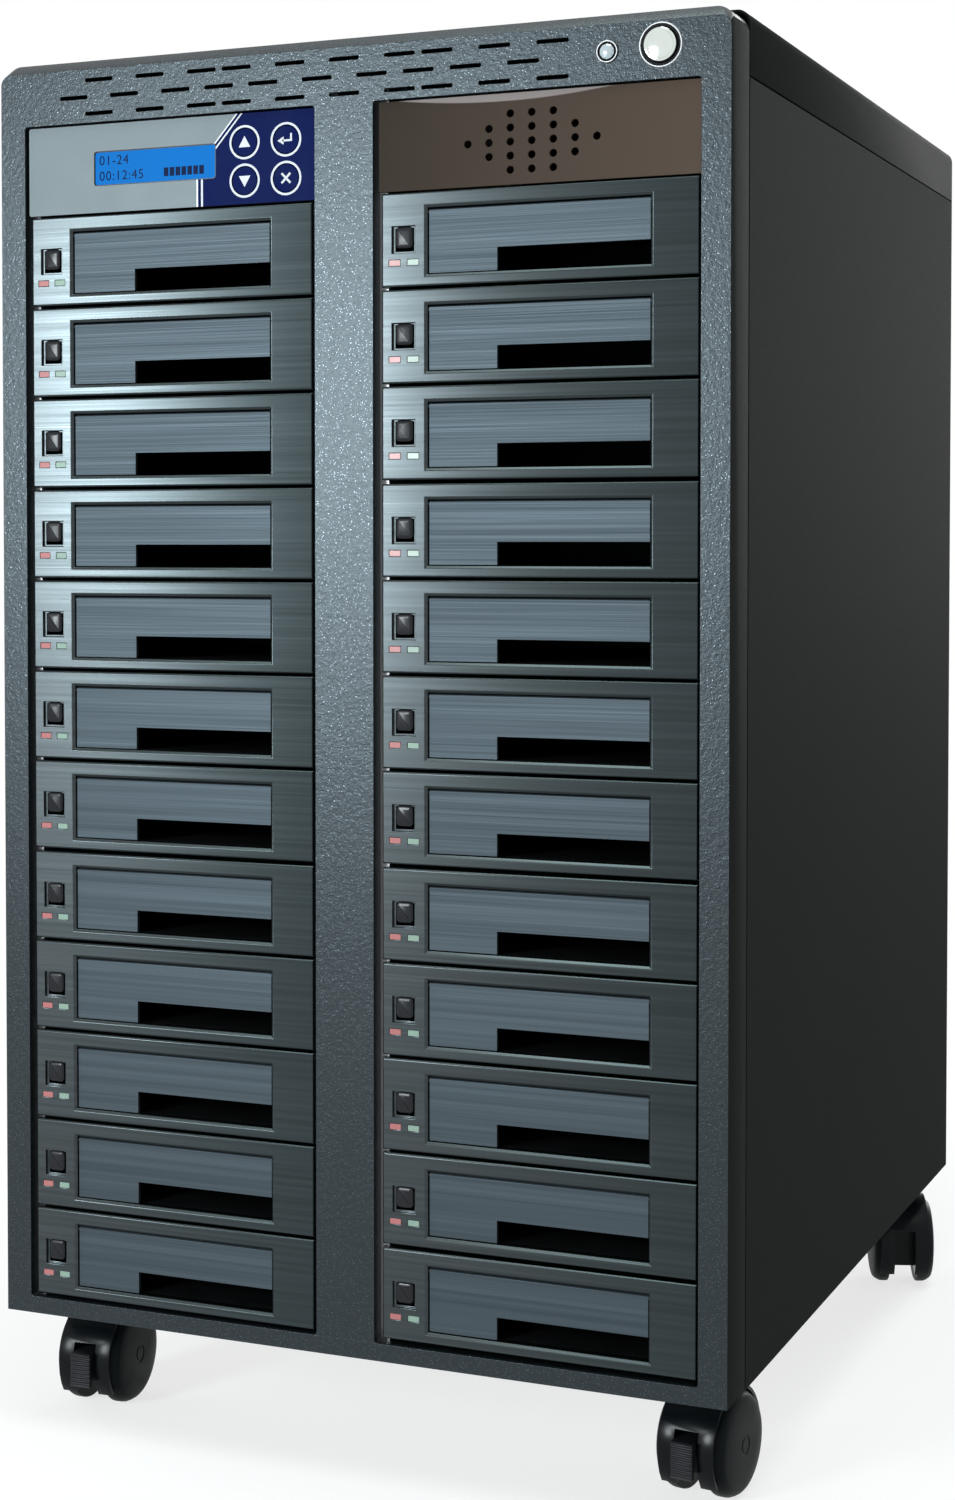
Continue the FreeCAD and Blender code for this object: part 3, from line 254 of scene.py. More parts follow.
def across_rack(tree, place):
    """A value from 0 at the left end of each rack to 1 at its right end."""
    x = axis(tree, place, "X")
    in_right_column = calculate(tree, "GREATER_THAN", x, 0.0)
    start = remap(tree, in_right_column, left_column_start, right_column_start)
    return remap(tree, calculate(tree, "SUBTRACT", x, start), 0.0, 1.0, 0.0, rack_width)


# %% [markdown]
# ## The painted finishes
# The cabinet front has a black powder coat that shows as a cool grey wherever it mirrors the light.
# The rest of the shell is a duller black. Roughness and bump do most of the work here, because dark
# paint shows its surface in its reflections and hardly at all in its colour. Each finish begins with
# the same few steps, so these are helpers too. Constant values sit on the shader's own sockets. Most
# masks stay near the middle of their range, so a blend of values stretches them between two limits.


# %% Helpers for finishes
def start_material(name, color, roughness, metallic=0.0, specular=0.5):
    """A material with its Principled shader ready, and Object coordinates for its textures."""
    material = bpy.data.materials.new(name)
    material.use_nodes = True
    tree = material.node_tree
    shader = tree.nodes["Principled BSDF"]
    shader.inputs["Base Color"].default_value = (*color, 1)
    shader.inputs["Roughness"].default_value = roughness
    shader.inputs["Metallic"].default_value = metallic
    shader.inputs["Specular IOR Level"].default_value = specular
    place = add_node(tree, "TexCoord")
    return material, tree, shader, place.outputs["Object"]


def use_group(tree, group, **values):
    """The outputs of a node group that is fed with the given values."""
    node = tree.nodes.new("ShaderNodeGroup")
    node.node_tree = group
    for name, value in values.items():
        feed(tree, value, node.inputs[name.replace("_", " ")])
    return node.outputs


def mix_colors(tree, factor, first, second, blend="MIX"):
    """A colour that moves from the first to the second as the factor grows."""
    node = add_node(tree, "Mix", data_type="RGBA", blend_type=blend, Factor=factor)
    sockets = [socket for socket in node.inputs if socket.type == "RGBA"]
    for color, socket in zip((first, second), sockets):
        feed(tree, color if isinstance(color, bpy.types.NodeSocket) else (*color, 1), socket)
    return [socket for socket in node.outputs if socket.type == "RGBA"][0]


MASK_RANGE = (0.25, 0.75)


def blend_value(tree, mask, low, high, target):
    """Send a value that moves from low to high with a mask to a socket."""
    link(tree, remap(tree, mask, low, high, *MASK_RANGE), target)


def blend_color(tree, mask, dark, light, target):
    """Send a colour that moves from dark to light with a mask to a socket."""
    link(tree, mix_colors(tree, mask, dark, light), target)


def set_bump(tree, shader, height, strength, distance):
    bump = add_node(tree, "Bump", Strength=strength, Distance=distance, Height=height)
    link(tree, bump.outputs["Normal"], shader.inputs["Normal"])
    return bump


print("a mask moves a value between", *MASK_RANGE)


# %% Painted sheet metal
def powder_coat(name, color, roughness, bump, specular=0.5, tint=(1, 1, 1), metallic=0.0, grit=1.0,
                depth=0.12 * MM, flake_specular=None):
    """Baked paint. Its specks are glossier than the rest, and mirror more where that is asked for."""
    material, tree, shader, place = start_material(name, color, roughness, metallic, specular)
    shader.inputs["Specular Tint"].default_value = (*tint, 1)
    texture = use_group(tree, powder_texture, Vector=place, Grit_Size=grit)
    blend_color(tree, texture["Cloud"], [c * 0.9 for c in color], [c * 1.12 for c in color],
                shader.inputs["Base Color"])
    blend_value(tree, texture["Sparkle"], roughness * 1.12, roughness * 0.72, shader.inputs["Roughness"])
    if flake_specular:
        blend_value(tree, texture["Sparkle"], specular, flake_specular, shader.inputs["Specular IOR Level"])
    set_bump(tree, shader, texture["Height"], bump, depth)
    return material


front_black = powder_coat("front_powder_coat", (0.0050, 0.0066, 0.0078), 0.288, 0.9, specular=0.45,
                          tint=(0.76, 0.91, 1.0), grit=0.9, depth=0.13 * MM, flake_specular=1.5)
shell_black = powder_coat("shell_powder_coat", (0.0088, 0.0106, 0.0097), 0.64, 0.2, specular=0.012)
plain_steel = powder_coat("zinc_plated_steel", (0.40, 0.41, 0.42), 0.42, 0.1, metallic=0.9)
print("painted finishes:", [finish.name for finish in (front_black, shell_black, plain_steel)])

# %% [markdown]
# ## Bronze sheet
# The perforated blank is thin bronze-painted sheet. Its top edge is bowed out a little, and the light it
# catches there is a painted highlight: a lighter band shaped like a shallow lens, drawn by a mask made
# from a parabola across the sheet.

# %% Bronze sheet with a painted highlight on its top edge
BRONZE = (0.043, 0.034, 0.027)
BRONZE_LEFT = (0.025, 0.0175, 0.0125)
BRONZE_RIGHT = (0.066, 0.047, 0.036)
# A painted highlight: the light caught by the top edge, painted into the sheet's colour.
BRONZE_PAINTED_HIGHLIGHT = (0.21, 0.185, 0.18)
HIGHLIGHT_START = 8.0 * MM
HIGHLIGHT_SPAN = 52.0 * MM
HIGHLIGHT_DEPTH = 3.6 * MM
HIGHLIGHT_BLUR = 0.5 * MM
blank_low, blank_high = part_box("blank_panel")
highlight_middle = blank_low.x + HIGHLIGHT_START + HIGHLIGHT_SPAN


def bronze_finish():
    """Bronze that turns lighter to the right, with a lens-shaped painted highlight along its top edge."""
    material, tree, shader, place = start_material("bronze_sheet", BRONZE, 0.5, specular=0.05)
    texture = use_group(tree, powder_texture, Vector=place, Grit_Size=0.8)
    x, z = axis(tree, place, "X"), axis(tree, place, "Z")
    across = remap(tree, x, 0.0, 1.0, blank_low.x, blank_high.x)
    along = remap(tree, x, 0.0, 1.0, highlight_middle, highlight_middle + HIGHLIGHT_SPAN, clamp=False)
    squared = calculate(tree, "MULTIPLY", along, along)
    edge = remap(tree, squared, blank_high.z - HIGHLIGHT_DEPTH, blank_high.z)
    highlight_mask = remap(tree, calculate(tree, "SUBTRACT", z, edge), 0.0, 1.0, 0.0, HIGHLIGHT_BLUR)
    spots = remap(tree, texture["Height"], 0.55, 1.0, 0.35, 0.6)
    sheet = mix_colors(tree, across, BRONZE_LEFT, BRONZE_RIGHT)
    # The band along the top edge is a painted highlight, speckled by the coat.
    blend_color(tree, calculate(tree, "MULTIPLY", highlight_mask, spots), sheet, BRONZE_PAINTED_HIGHLIGHT,
                shader.inputs["Base Color"])
    blend_value(tree, texture["Cloud"], 0.42, 0.55, shader.inputs["Roughness"])
    set_bump(tree, shader, texture["Height"], 0.12, 0.08 * MM)
    return material


bronze = bronze_finish()
print("painted_highlight in mm:", round(2 * HIGHLIGHT_SPAN / MM, 1), "of", round((blank_high.x - blank_low.x) / MM, 1))

# %% [markdown]
# ## Brushed and anodised metal
# The racks are brushed from side to side and anodised to a dark gunmetal. Each bezel is faintly bowed,
# so that its left end mirrors the light and its right end turns away from it. A bump whose height falls
# as a parabola across the rack tilts the reflections in the same way, with no extra mesh. The bezel's
# colour is also painted lighter at the left end of each rack and darker at the right: a painted
# reflection that goes with the bow.

# %% Brushed metal
BOW_CREST = -0.33
BEZEL_BOW = 12.0 * MM


def brushed_metal(name, left, right, roughness, line_depth, bow=0.0):
    """Brushed metal, bowed across each rack by a height given in metres."""
    material, tree, shader, place = start_material(name, left, roughness, metallic=1.0)
    brushed = use_group(tree, brushed_texture, Vector=place)
    share = across_rack(tree, place)
    shade = remap(tree, brushed["Bands"], 0.80, 1.12, 0.3, 0.7)
    tone = add_node(tree, "CombineColor", Red=shade, Green=shade, Blue=shade)
    # Colour from the left end of each rack to the right end; on the bezels the lighter left end is a painted
    # reflection.
    base = mix_colors(tree, share, left, right)
    link(tree, mix_colors(tree, 1.0, base, tone.outputs["Color"], "MULTIPLY"), shader.inputs["Base Color"])
    blend_value(tree, brushed["Lines"], roughness * 0.8, roughness * 1.2, shader.inputs["Roughness"])
    lines = set_bump(tree, shader, brushed["Lines"], line_depth, 0.04 * MM)
    if bow:
        from_crest = calculate(tree, "SUBTRACT", share, BOW_CREST)
        bowl = add_node(tree, "Bump", invert=True, Strength=1.0, Distance=bow,
                        Height=calculate(tree, "POWER", from_crest, 2.0))
        link(tree, bowl.outputs["Normal"], lines.inputs["Normal"])
    return material


# Left colour lighter than right: a painted reflection at the left end and painted shade at the right.
bezel_metal = brushed_metal("gunmetal_bezel", (0.054, 0.064, 0.068), (0.037, 0.048, 0.051), 0.33, 0.4,
                            bow=BEZEL_BOW)
door_metal = brushed_metal("door_metal", (0.052, 0.067, 0.078), (0.054, 0.070, 0.082), 0.56, 0.3)
print("brushed finishes:", [finish.name for finish in (bezel_metal, door_metal)])

# %% [markdown]
# ## Moulded plastics
# The plastics differ mainly in gloss. The grain of the mould gives each a fine bump, and the smears of
# handling vary its roughness a little, so that no highlight is perfectly even. The printed inks, the
# circuit boards and the chrome skin of the power button are made in the same way.


# %% Plastics
def moulded_plastic(name, color, roughness, bump=0.15, specular=0.5, metallic=0.0):
    material, tree, shader, place = start_material(name, color, roughness, metallic, specular)
    grain = use_group(tree, moulded_texture, Vector=place)
    blend_value(tree, grain["Smear"], roughness * 0.8, roughness * 1.3, shader.inputs["Roughness"])
    blend_color(tree, grain["Smear"], [c * 0.9 for c in color], [c * 1.15 for c in color],
                shader.inputs["Base Color"])
    set_bump(tree, shader, grain["Height"], bump, 0.03 * MM)
    return material


rack_black = moulded_plastic("rack_plastic", (0.004, 0.0045, 0.005), 0.6, specular=0.1)
switch_black = moulded_plastic("switch_plastic", (0.003, 0.0035, 0.004), 0.4, specular=0.08)
inner_black = moulded_plastic("fan_plastic", (0.012, 0.012, 0.013), 0.5, specular=0.35)
caster_black = moulded_plastic("caster_plastic", (0.002, 0.0032, 0.004), 0.24, bump=0.05, specular=0.12)
wheel_black = moulded_plastic("wheel_plastic", (0.0022, 0.0042, 0.0048), 0.4, bump=0.08, specular=0.06)
lever_black = moulded_plastic("lever_plastic", (0.006, 0.007, 0.009), 0.4, specular=0.2)
button_grey = moulded_plastic("rack_button_plastic", (0.007, 0.008, 0.010), 0.26, bump=0.03, specular=0.22)
board_green = moulded_plastic("circuit_board", (0.015, 0.085, 0.035), 0.35)
panel_black = moulded_plastic("panel_housing", (0.012, 0.012, 0.014), 0.4)
print_white = moulded_plastic("white_print", (0.52, 0.54, 0.58), 0.5, specular=0.1)
screen_print = moulded_plastic("screen_digits", (0.002, 0.008, 0.04), 0.5, specular=0.05)
chrome = moulded_plastic("polished_chrome", (0.70, 0.76, 0.73), 0.07, bump=0.0, metallic=1.0)
print("finishes so far:", len(bpy.data.materials))

# %% [markdown]
# ## Light windows, display and panel sheet
# The little windows of each rack are clear plastic over a red light on the left and a green one on the
# right. The display is a backlit blue, so it gives off light of its own. The panel's front is a printed
# sheet: a silver field, a navy one around the keys, and two fine white lines where they meet. Masks
# made from the position draw that print, which keeps its edges sharp at any size.

# %% Light windows
LENS_DIVIDE = 11.0 * MM / rack_width
LENS_RED = (0.34, 0.12, 0.12)
LENS_GREEN = (0.19, 0.28, 0.23)


def lens_finish():
    """Red in the left window of each rack and green in the right one."""
    material, tree, shader, place = start_material("lens_plastic", (0.8, 0.8, 0.8), 0.25, specular=0.3)
    in_right_window = calculate(tree, "GREATER_THAN", across_rack(tree, place), LENS_DIVIDE)
    blend_color(tree, in_right_window, LENS_RED, LENS_GREEN, shader.inputs["Base Color"])
    grain = use_group(tree, moulded_texture, Vector=place)
    blend_value(tree, grain["Smear"], 0.22, 0.32, shader.inputs["Roughness"])
    return material


lens_plastic = lens_finish()
clear_lens = moulded_plastic("clear_light_lens", (0.36, 0.42, 0.45), 0.12, bump=0.0, metallic=0.3)
print("the windows part at this share of the rack:", round(LENS_DIVIDE, 3))


# %% Backlit display
def display_finish():
    material, tree, shader, place = start_material("backlit_display", (0.001, 0.008, 0.03), 0.42,
                                                   specular=0.03)
    glow = noise(tree, place, 30.0, 1.0)
    blend_color(tree, glow, (0.001, 0.182, 0.62), (0.002, 0.205, 0.69), shader.inputs["Emission Color"])
    shader.inputs["Emission Strength"].default_value = 0.95
    blend_value(tree, glow, 0.38, 0.46, shader.inputs["Roughness"])
    return material


display_blue = display_finish()
print("display finish:", display_blue.name)

# %% Printed panel sheet
SILVER = (0.145, 0.172, 0.185)
NAVY = (0.0006, 0.0054, 0.053)
PIN_WHITE = (0.55, 0.58, 0.60)
PANEL_SLANT = 0.89
PANEL_STEP = 9.0 * MM
PIN_LINES = ((-0.35 * MM, 0.7 * MM), (2.1 * MM, 0.9 * MM))
EDGE_BLUR = 0.08 * MM
WINDOW_INSET = (51.1 * MM, 13.0 * MM)
panel_low, panel_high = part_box("control_panel")
key_boxes = {node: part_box(node) for node in ("key_up", "key_down", "key_enter", "key_escape")}
window_right = panel_high.x - WINDOW_INSET[0]
window_top = panel_high.z - WINDOW_INSET[1]


def panel_finish():
    """Silver and navy fields. Their border slants down to the display and drops straight below it."""
    material, tree, shader, place = start_material("printed_panel_sheet", (0.15, 0.17, 0.18), 0.45,
                                                   specular=0.03)
    slanted = calculate(tree, "MULTIPLY_ADD", axis(tree, place, "Z"), PANEL_SLANT,
                        window_right - PANEL_SLANT * window_top)
    border = calculate(tree, "MAXIMUM", slanted, window_right - PANEL_STEP)
    beyond = calculate(tree, "SUBTRACT", axis(tree, place, "X"), border)
    navy = remap(tree, beyond, 0.0, 1.0, -EDGE_BLUR, EDGE_BLUR)
    lines = []
    for middle, width in PIN_LINES:
        distance = calculate(tree, "ABSOLUTE", calculate(tree, "SUBTRACT", beyond, middle))
        lines.append(remap(tree, distance, 1.0, 0.0, width / 2, width / 2 + EDGE_BLUR))
    blend_color(tree, calculate(tree, "MAXIMUM", *lines), mix_colors(tree, navy, SILVER, NAVY), PIN_WHITE,
                shader.inputs["Base Color"])
    link(tree, remap(tree, navy, 0.15, 0.0), shader.inputs["Metallic"])
    grain = use_group(tree, moulded_texture, Vector=place, Grain=900.0)
    blend_value(tree, grain["Smear"], 0.40, 0.50, shader.inputs["Roughness"])
    set_bump(tree, shader, grain["Height"], 0.1, 0.04 * MM)
    return material


panel_sheet = panel_finish()
navy_plastic = moulded_plastic("navy_key_sheet", NAVY, 0.45, specular=0.03)
print("window from the panel's left in mm:", round((window_right - panel_low.x) / MM, 2))

# %% [markdown]
# ## Softened copies
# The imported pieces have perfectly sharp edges, and a sharp edge never catches the light as a real
# fold or moulding does. A copy of each visible piece has its loose triangles merged back into flat
# faces, and then its hard edges are beveled by a fraction of a millimetre. Faces that belong to a
# curve or a bevel are shaded smooth and the flat ones stay flat, so that no shade bleeds across them.
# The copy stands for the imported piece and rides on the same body, so nothing moves or changes size.

# %% Keep a new piece
SHARP_ANGLE = math.radians(32)
slots = {entry["node"]: entry["material_slot"] for entry in frame["record"]["subparts"]}


def keep_piece(name, shape, body, slot, *materials):
    """Turn a finished bmesh into a piece that rides on a body; its sharp edges break the shading."""
    for edge in shape.edges:
        edge.smooth = len(edge.link_faces) != 2 or edge.calc_face_angle() < SHARP_ANGLE
    mesh = bpy.data.meshes.new(name)
    shape.to_mesh(mesh)
    shape.free()
    for material in materials:
        mesh.materials.append(material)
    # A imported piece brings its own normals, which would hide the new smooth and sharp edges.
    if "custom_normal" in mesh.attributes:
        mesh.attributes.remove(mesh.attributes["custom_normal"])
    piece = bpy.data.objects.new(name, mesh)
    bpy.context.scene.collection.objects.link(piece)
    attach(piece, body)
    return piece


print("slots:", sorted(set(slots.values())))

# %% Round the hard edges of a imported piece
FLAT_ANGLE = math.radians(0.6)
MERGE_DISTANCE = 1e-6
BEVEL_SHARE = 0.9


def softened(node, width, material, segments=2, sharp_angle=SHARP_ANGLE, second=None, second_where=None):
    """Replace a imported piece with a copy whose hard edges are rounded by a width."""
    source = nodes[node]
    shape = bmesh.new()
    shape.from_mesh(source.data)
    bmesh.ops.remove_doubles(shape, verts=shape.verts, dist=MERGE_DISTANCE)
    bmesh.ops.dissolve_limit(shape, angle_limit=FLAT_ANGLE, verts=shape.verts, edges=shape.edges)
    for face in shape.faces:
        bends = [edge.calc_face_angle() for edge in face.edges if len(edge.link_faces) == 2]
        face.smooth = any(FLAT_ANGLE < bend < sharp_angle for bend in bends)
        face.material_index = 1 if second and second_where(face.normal, face.calc_center_median()) else 0
    hard = [edge for edge in shape.edges
            if len(edge.link_faces) == 2 and edge.calc_face_angle() > sharp_angle]
    bmesh.ops.bevel(shape, geom=hard, offset=width, offset_type="OFFSET", affect="EDGES",
                    segments=segments, profile=0.5, material=-1, clamp_overlap=True)
    for face in shape.faces:
        if 2 * face.calc_area() / face.calc_perimeter() < BEVEL_SHARE * width:
            face.smooth = True
    piece = keep_piece(node + "_finished", shape, source["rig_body"], slots[node],
                       *([material, second] if second else [material]))
    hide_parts(node)


def repaint(node, material):
    """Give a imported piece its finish, and leave its shape alone."""
    for slot in nodes[node].material_slots:
        slot.link = "OBJECT"
        slot.material = material


print("edges sharper than this many degrees get a bevel:", round(math.degrees(SHARP_ANGLE)))

# %% Dress the cabinet and the racks
frame_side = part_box("front_frame")[1].x
supply_low, supply_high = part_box("power_supply")
FLANGE_REACH = 1.0 * MM
INLET_ACROSS = (18.5 * MM, 47.0 * MM)
INLET_DOWN = (18.5 * MM, 39.5 * MM)
INLET_DEPTH = 0.3 * MM


def outer_flange(normal, centre):
    """The folded sides of the front frame, which carry the same dull paint as the side panels."""
    return abs(normal.x) > 0.9 and abs(centre.x) > frame_side - FLANGE_REACH


def above_bays(normal, centre):
    """The holder of the power light, the only lens in the header."""
    return centre.z > panel_high.z


def inside_inlet(normal, centre):
    """The moulded socket in the supply's rear face, found from the supply's own corner."""
    across, down = centre.x - supply_low.x, supply_high.z - centre.z
    behind = supply_high.y - centre.y > INLET_DEPTH
    return behind and INLET_ACROSS[0] < across < INLET_ACROSS[1] and INLET_DOWN[0] < down < INLET_DOWN[1]


softened("front_frame", 0.35 * MM, front_black, segments=3, second=shell_black, second_where=outer_flange)
softened("rack_bezels", 0.25 * MM, bezel_metal)
doors = sorted(node for node in nodes if node.startswith("rack_door_"))
for door in doors:
    softened(door, 0.2 * MM, door_metal)
for node in ("top_cover", "side_panel_left", "side_panel_right", "rear_panel"):
    softened(node, 0.25 * MM, shell_black)
softened("blank_panel", 0.3 * MM, bronze)
for node in ("base_pan", "bay_rails", "caster_plates"):
    repaint(node, plain_steel)
softened("power_supply", 0.3 * MM, plain_steel, second=switch_black, second_where=inside_inlet)
repaint("rack_cages", rack_black)
repaint("circuit_boards", board_green)
for node in ("fan_frame", "fan_rotor"):
    softened(node, 0.3 * MM, inner_black)
repaint("display_module", panel_black)
softened("light_lenses", 0.2 * MM, lens_plastic, second=switch_black, second_where=above_bays)
corners = ("front_left", "front_right", "rear_left", "rear_right")
for corner in corners:
    softened("caster_housing_" + corner, 0.5 * MM, caster_black, segments=3)
for corner in corners[:2]:
    softened("brake_lever_" + corner, 0.25 * MM, lever_black)

# %% [markdown]
# ## Push buttons
# Each rack has a small glossy button with rounded corners and a crowned face. A rounded plate is drawn
# flat, extruded to the depth of the real button, and its face is then inset in three steps that rise
# ever less, which is how a crown is usually modelled. All twelve of a column move together.

# %% Crowned push buttons
BUTTON_SIZE = (8.3 * MM, 9.5 * MM)
BUTTON_CORNER = 1.9 * MM
BUTTON_LENGTH = 6.0 * MM
CROWN_STEPS = ((0.25, 0.30), (0.7, 0.28), (1.1, 0.16))


def rounded_plate(width, height, corner, steps=6):
    """A flat rectangle with rounded corners, drawn in X and Y."""
    shape = bmesh.new()
    bmesh.ops.create_grid(shape, x_segments=1, y_segments=1, size=1,
                          matrix=Matrix.Diagonal((width / 2, height / 2, 1, 1)))
    bmesh.ops.bevel(shape, geom=shape.verts[:], offset=corner, offset_type="OFFSET", affect="VERTICES",
                    segments=steps, profile=0.5, material=-1)
    return shape


def crowned_button(centre, front):
    """One button, its crown towards the front; the rise of each inset is given in millimetres."""
    rise = sum(step[1] for step in CROWN_STEPS) * MM
    shape = rounded_plate(*BUTTON_SIZE, BUTTON_CORNER)
    sides = bmesh.ops.extrude_face_region(shape, geom=shape.faces[:])
    top = [item for item in sides["geom"] if isinstance(item, bmesh.types.BMFace)][0]
    bmesh.ops.translate(shape, verts=top.verts, vec=(0, 0, BUTTON_LENGTH - rise))
    for inward, up in CROWN_STEPS:
        bmesh.ops.inset_region(shape, faces=[top], thickness=inward * MM, use_even_offset=True)
        bmesh.ops.translate(shape, verts=top.verts, vec=(0, 0, up * MM))
    bmesh.ops.recalc_face_normals(shape, faces=shape.faces)
    shape.transform(Matrix.Translation((centre[0], front + BUTTON_LENGTH, centre[1]))
                    @ Matrix.Rotation(math.radians(90), 4, "X"))
    return shape


def merge_into(whole, part):
    """Move the faces of one bmesh into another, by way of a mesh."""
    scratch = bpy.data.meshes.new("scratch")
    part.to_mesh(scratch)
    part.free()
    whole.from_mesh(scratch)
    bpy.data.meshes.remove(scratch)


for side, node in (("L", "rack_buttons_left"), ("R", "rack_buttons_right")):
    low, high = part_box(node)
    first_door_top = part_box("rack_door_" + side + "01")[1].z
    drop = first_door_top - (high.z - BUTTON_SIZE[1] / 2)
    column = bmesh.new()
    for door in doors:
        if door.startswith("rack_door_" + side):
            merge_into(column, crowned_button(((low.x + high.x) / 2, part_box(door)[1].z - drop), low.y))
    for face in column.faces:
        face.smooth = True
    buttons = keep_piece(node + "_crowned", column, nodes[node]["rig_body"], slots[node], button_grey)
    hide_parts(node)
print("button drop below the door top in mm:", round(drop / MM, 2))

# %% [markdown]
# ## The control panel
# The housing keeps its shape, and only its front face carries the printed sheet. Each key is part of
# that sheet, with a white ring around it and a white symbol on it. The symbols are plain shapes: two
# triangles, a return arrow and a cross. They are made of circles and bars and given the thickness of
# screen ink.

# %% Panel front and key caps
front_level = panel_low.y


def panel_front(normal, centre):
    """The flat front of the housing, where the printed sheet lies."""
    return normal.y < -0.9 and abs(centre.y - front_level) < 0.2 * MM


softened("control_panel", 0.25 * MM, panel_black, second=panel_sheet, second_where=panel_front)
for node in key_boxes:
    softened(node, 0.15 * MM, navy_plastic, sharp_angle=math.radians(40))
print("keys:", sorted(key_boxes))

# %% Thin print laid on the front
INK = 0.06 * MM


def lay_on_front(shape, centre):
    """Stand a flat shape drawn in X and Y up against the panel, facing forwards, and give it thickness."""
    shape.transform(Matrix.Translation(centre) @ Matrix.Rotation(math.radians(90), 4, "X"))
    bmesh.ops.recalc_face_normals(shape, faces=shape.faces)
    sheet = bmesh.ops.extrude_face_region(shape, geom=shape.faces[:])
    front = [item for item in sheet["geom"] if isinstance(item, bmesh.types.BMVert)]
    bmesh.ops.translate(shape, verts=front, vec=(0, -INK, 0))
    bmesh.ops.recalc_face_normals(shape, faces=shape.faces)


def turned_place(turn, middle):
    """The place of a mark that is turned and moved in its own plane."""
    return Matrix.Translation((middle[0], middle[1], 0)) @ Matrix.Rotation(turn, 4, "Z")


def flat_bar(shape, length, width, turn, middle):
    place = turned_place(turn, middle) @ Matrix.Diagonal((length / 2, width / 2, 1, 1))
    bmesh.ops.create_grid(shape, x_segments=1, y_segments=1, size=1, matrix=place)


def flat_triangle(shape, radius, turn, middle):
    place = turned_place(turn, middle)
    bmesh.ops.create_circle(shape, cap_ends=True, segments=3, radius=radius, matrix=place)


print("ink in mm:", round(INK / MM, 3))

# %% Symbols on the keys
ARROW_RADIUS = 3.4 * MM
ARROW_SHIFT = 0.5 * MM
RETURN_STROKE = 0.9 * MM
RETURN_HEIGHT = 3.6 * MM
RETURN_LENGTH = 4.0 * MM
RETURN_ARROW = 2.1 * MM
RETURN_LINE = -0.45 * MM
CROSS_STROKE = 1.0 * MM
CROSS_SPAN = 6.2 * MM
CROSS_ARM = 2.6 * MM
CROSS_SHIFT = 1.3 * MM


def key_centre(node):
    low, high = key_boxes[node]
    return Vector(((low.x + high.x) / 2, front_level, (low.z + high.z) / 2))


def draw_up(shape):
    flat_triangle(shape, ARROW_RADIUS, 0, (0, -ARROW_SHIFT))


def draw_down(shape):
    flat_triangle(shape, ARROW_RADIUS, math.pi, (0, ARROW_SHIFT))


def draw_return(shape):
    flat_bar(shape, RETURN_STROKE, RETURN_HEIGHT, 0, (2.6 * MM, 0.9 * MM))
    flat_bar(shape, RETURN_LENGTH, RETURN_STROKE, 0, (0.15 * MM, RETURN_LINE))
    flat_triangle(shape, RETURN_ARROW, math.pi / 2, (-2.2 * MM, RETURN_LINE))


def draw_cross(shape):
    flat_bar(shape, CROSS_SPAN, CROSS_STROKE, math.pi / 4, (0, 0))
    for side in (1, -1):
        flat_bar(shape, CROSS_ARM, CROSS_STROKE, -math.pi / 4, (side * CROSS_SHIFT, -side * CROSS_SHIFT))


for node, draw in (("key_up", draw_up), ("key_down", draw_down), ("key_enter", draw_return),
                   ("key_escape", draw_cross)):
    symbol = bmesh.new()
    draw(symbol)
    lay_on_front(symbol, key_centre(node))
    keep_piece(node + "_symbol", symbol, nodes[node]["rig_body"], slots[node], print_white)
print("key pitch in mm:", round((key_centre("key_enter").x - key_centre("key_up").x) / MM, 2))

# %% White rings around the keys
KEY_RING = (6.75 * MM, 7.75 * MM)


def flat_ring(inner, outer, steps=64):
    """A flat ring: two circles joined by one band of faces."""
    shape = bmesh.new()
    bmesh.ops.create_circle(shape, segments=steps, radius=inner)
    bmesh.ops.create_circle(shape, segments=steps, radius=outer)
    bmesh.ops.bridge_loops(shape, edges=shape.edges[:])
    return shape


for node in key_boxes:
    ring = flat_ring(*KEY_RING)
    lay_on_front(ring, key_centre(node))
    keep_piece(node + "_ring", ring, "cabinet", slots["control_panel"], print_white)
print("ring diameter in mm:", round(2 * KEY_RING[1] / MM, 1))

# %% [markdown]
# ## The display
# A thin dark outline surrounds the window. Behind it lies the backlit screen, a thin rounded plate on
# the front of the module. Its two rows show plain digits and a bar of blocks, which stand for any
# reading. Text is made as a curve first and turned into a mesh before it is put in place.

# %% Screen and outline
SCREEN_SIZE = (63.6 * MM, 15.1 * MM)
SCREEN_CORNER = 1.3 * MM
WINDOW_SPAN = (63.9 * MM, 15.4 * MM)
OUTLINE = 0.35 * MM
window_centre = Vector((window_right - WINDOW_SPAN[0] / 2, 0, window_top - WINDOW_SPAN[1] / 2))
screen_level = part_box("display_module")[0].y

screen = rounded_plate(*SCREEN_SIZE, SCREEN_CORNER)
lay_on_front(screen, Vector((window_centre.x, screen_level, window_centre.z)))
keep_piece("display_screen", screen, "cabinet", slots["display_module"], display_blue)

border = rounded_plate(*(span + 2 * OUTLINE for span in WINDOW_SPAN), SCREEN_CORNER + OUTLINE)
outline = bmesh.ops.inset_region(border, faces=border.faces[:], thickness=OUTLINE, use_boundary=True,
                                 use_even_offset=True)
middle_faces = [face for face in border.faces if face not in outline["faces"]]
bmesh.ops.delete(border, geom=middle_faces, context="FACES")
lay_on_front(border, Vector((window_centre.x, front_level, window_centre.z)))
keep_piece("display_border", border, "cabinet", slots["control_panel"], button_grey)
print("screen behind the panel front in mm:", round((screen_level - front_level) / MM, 2))

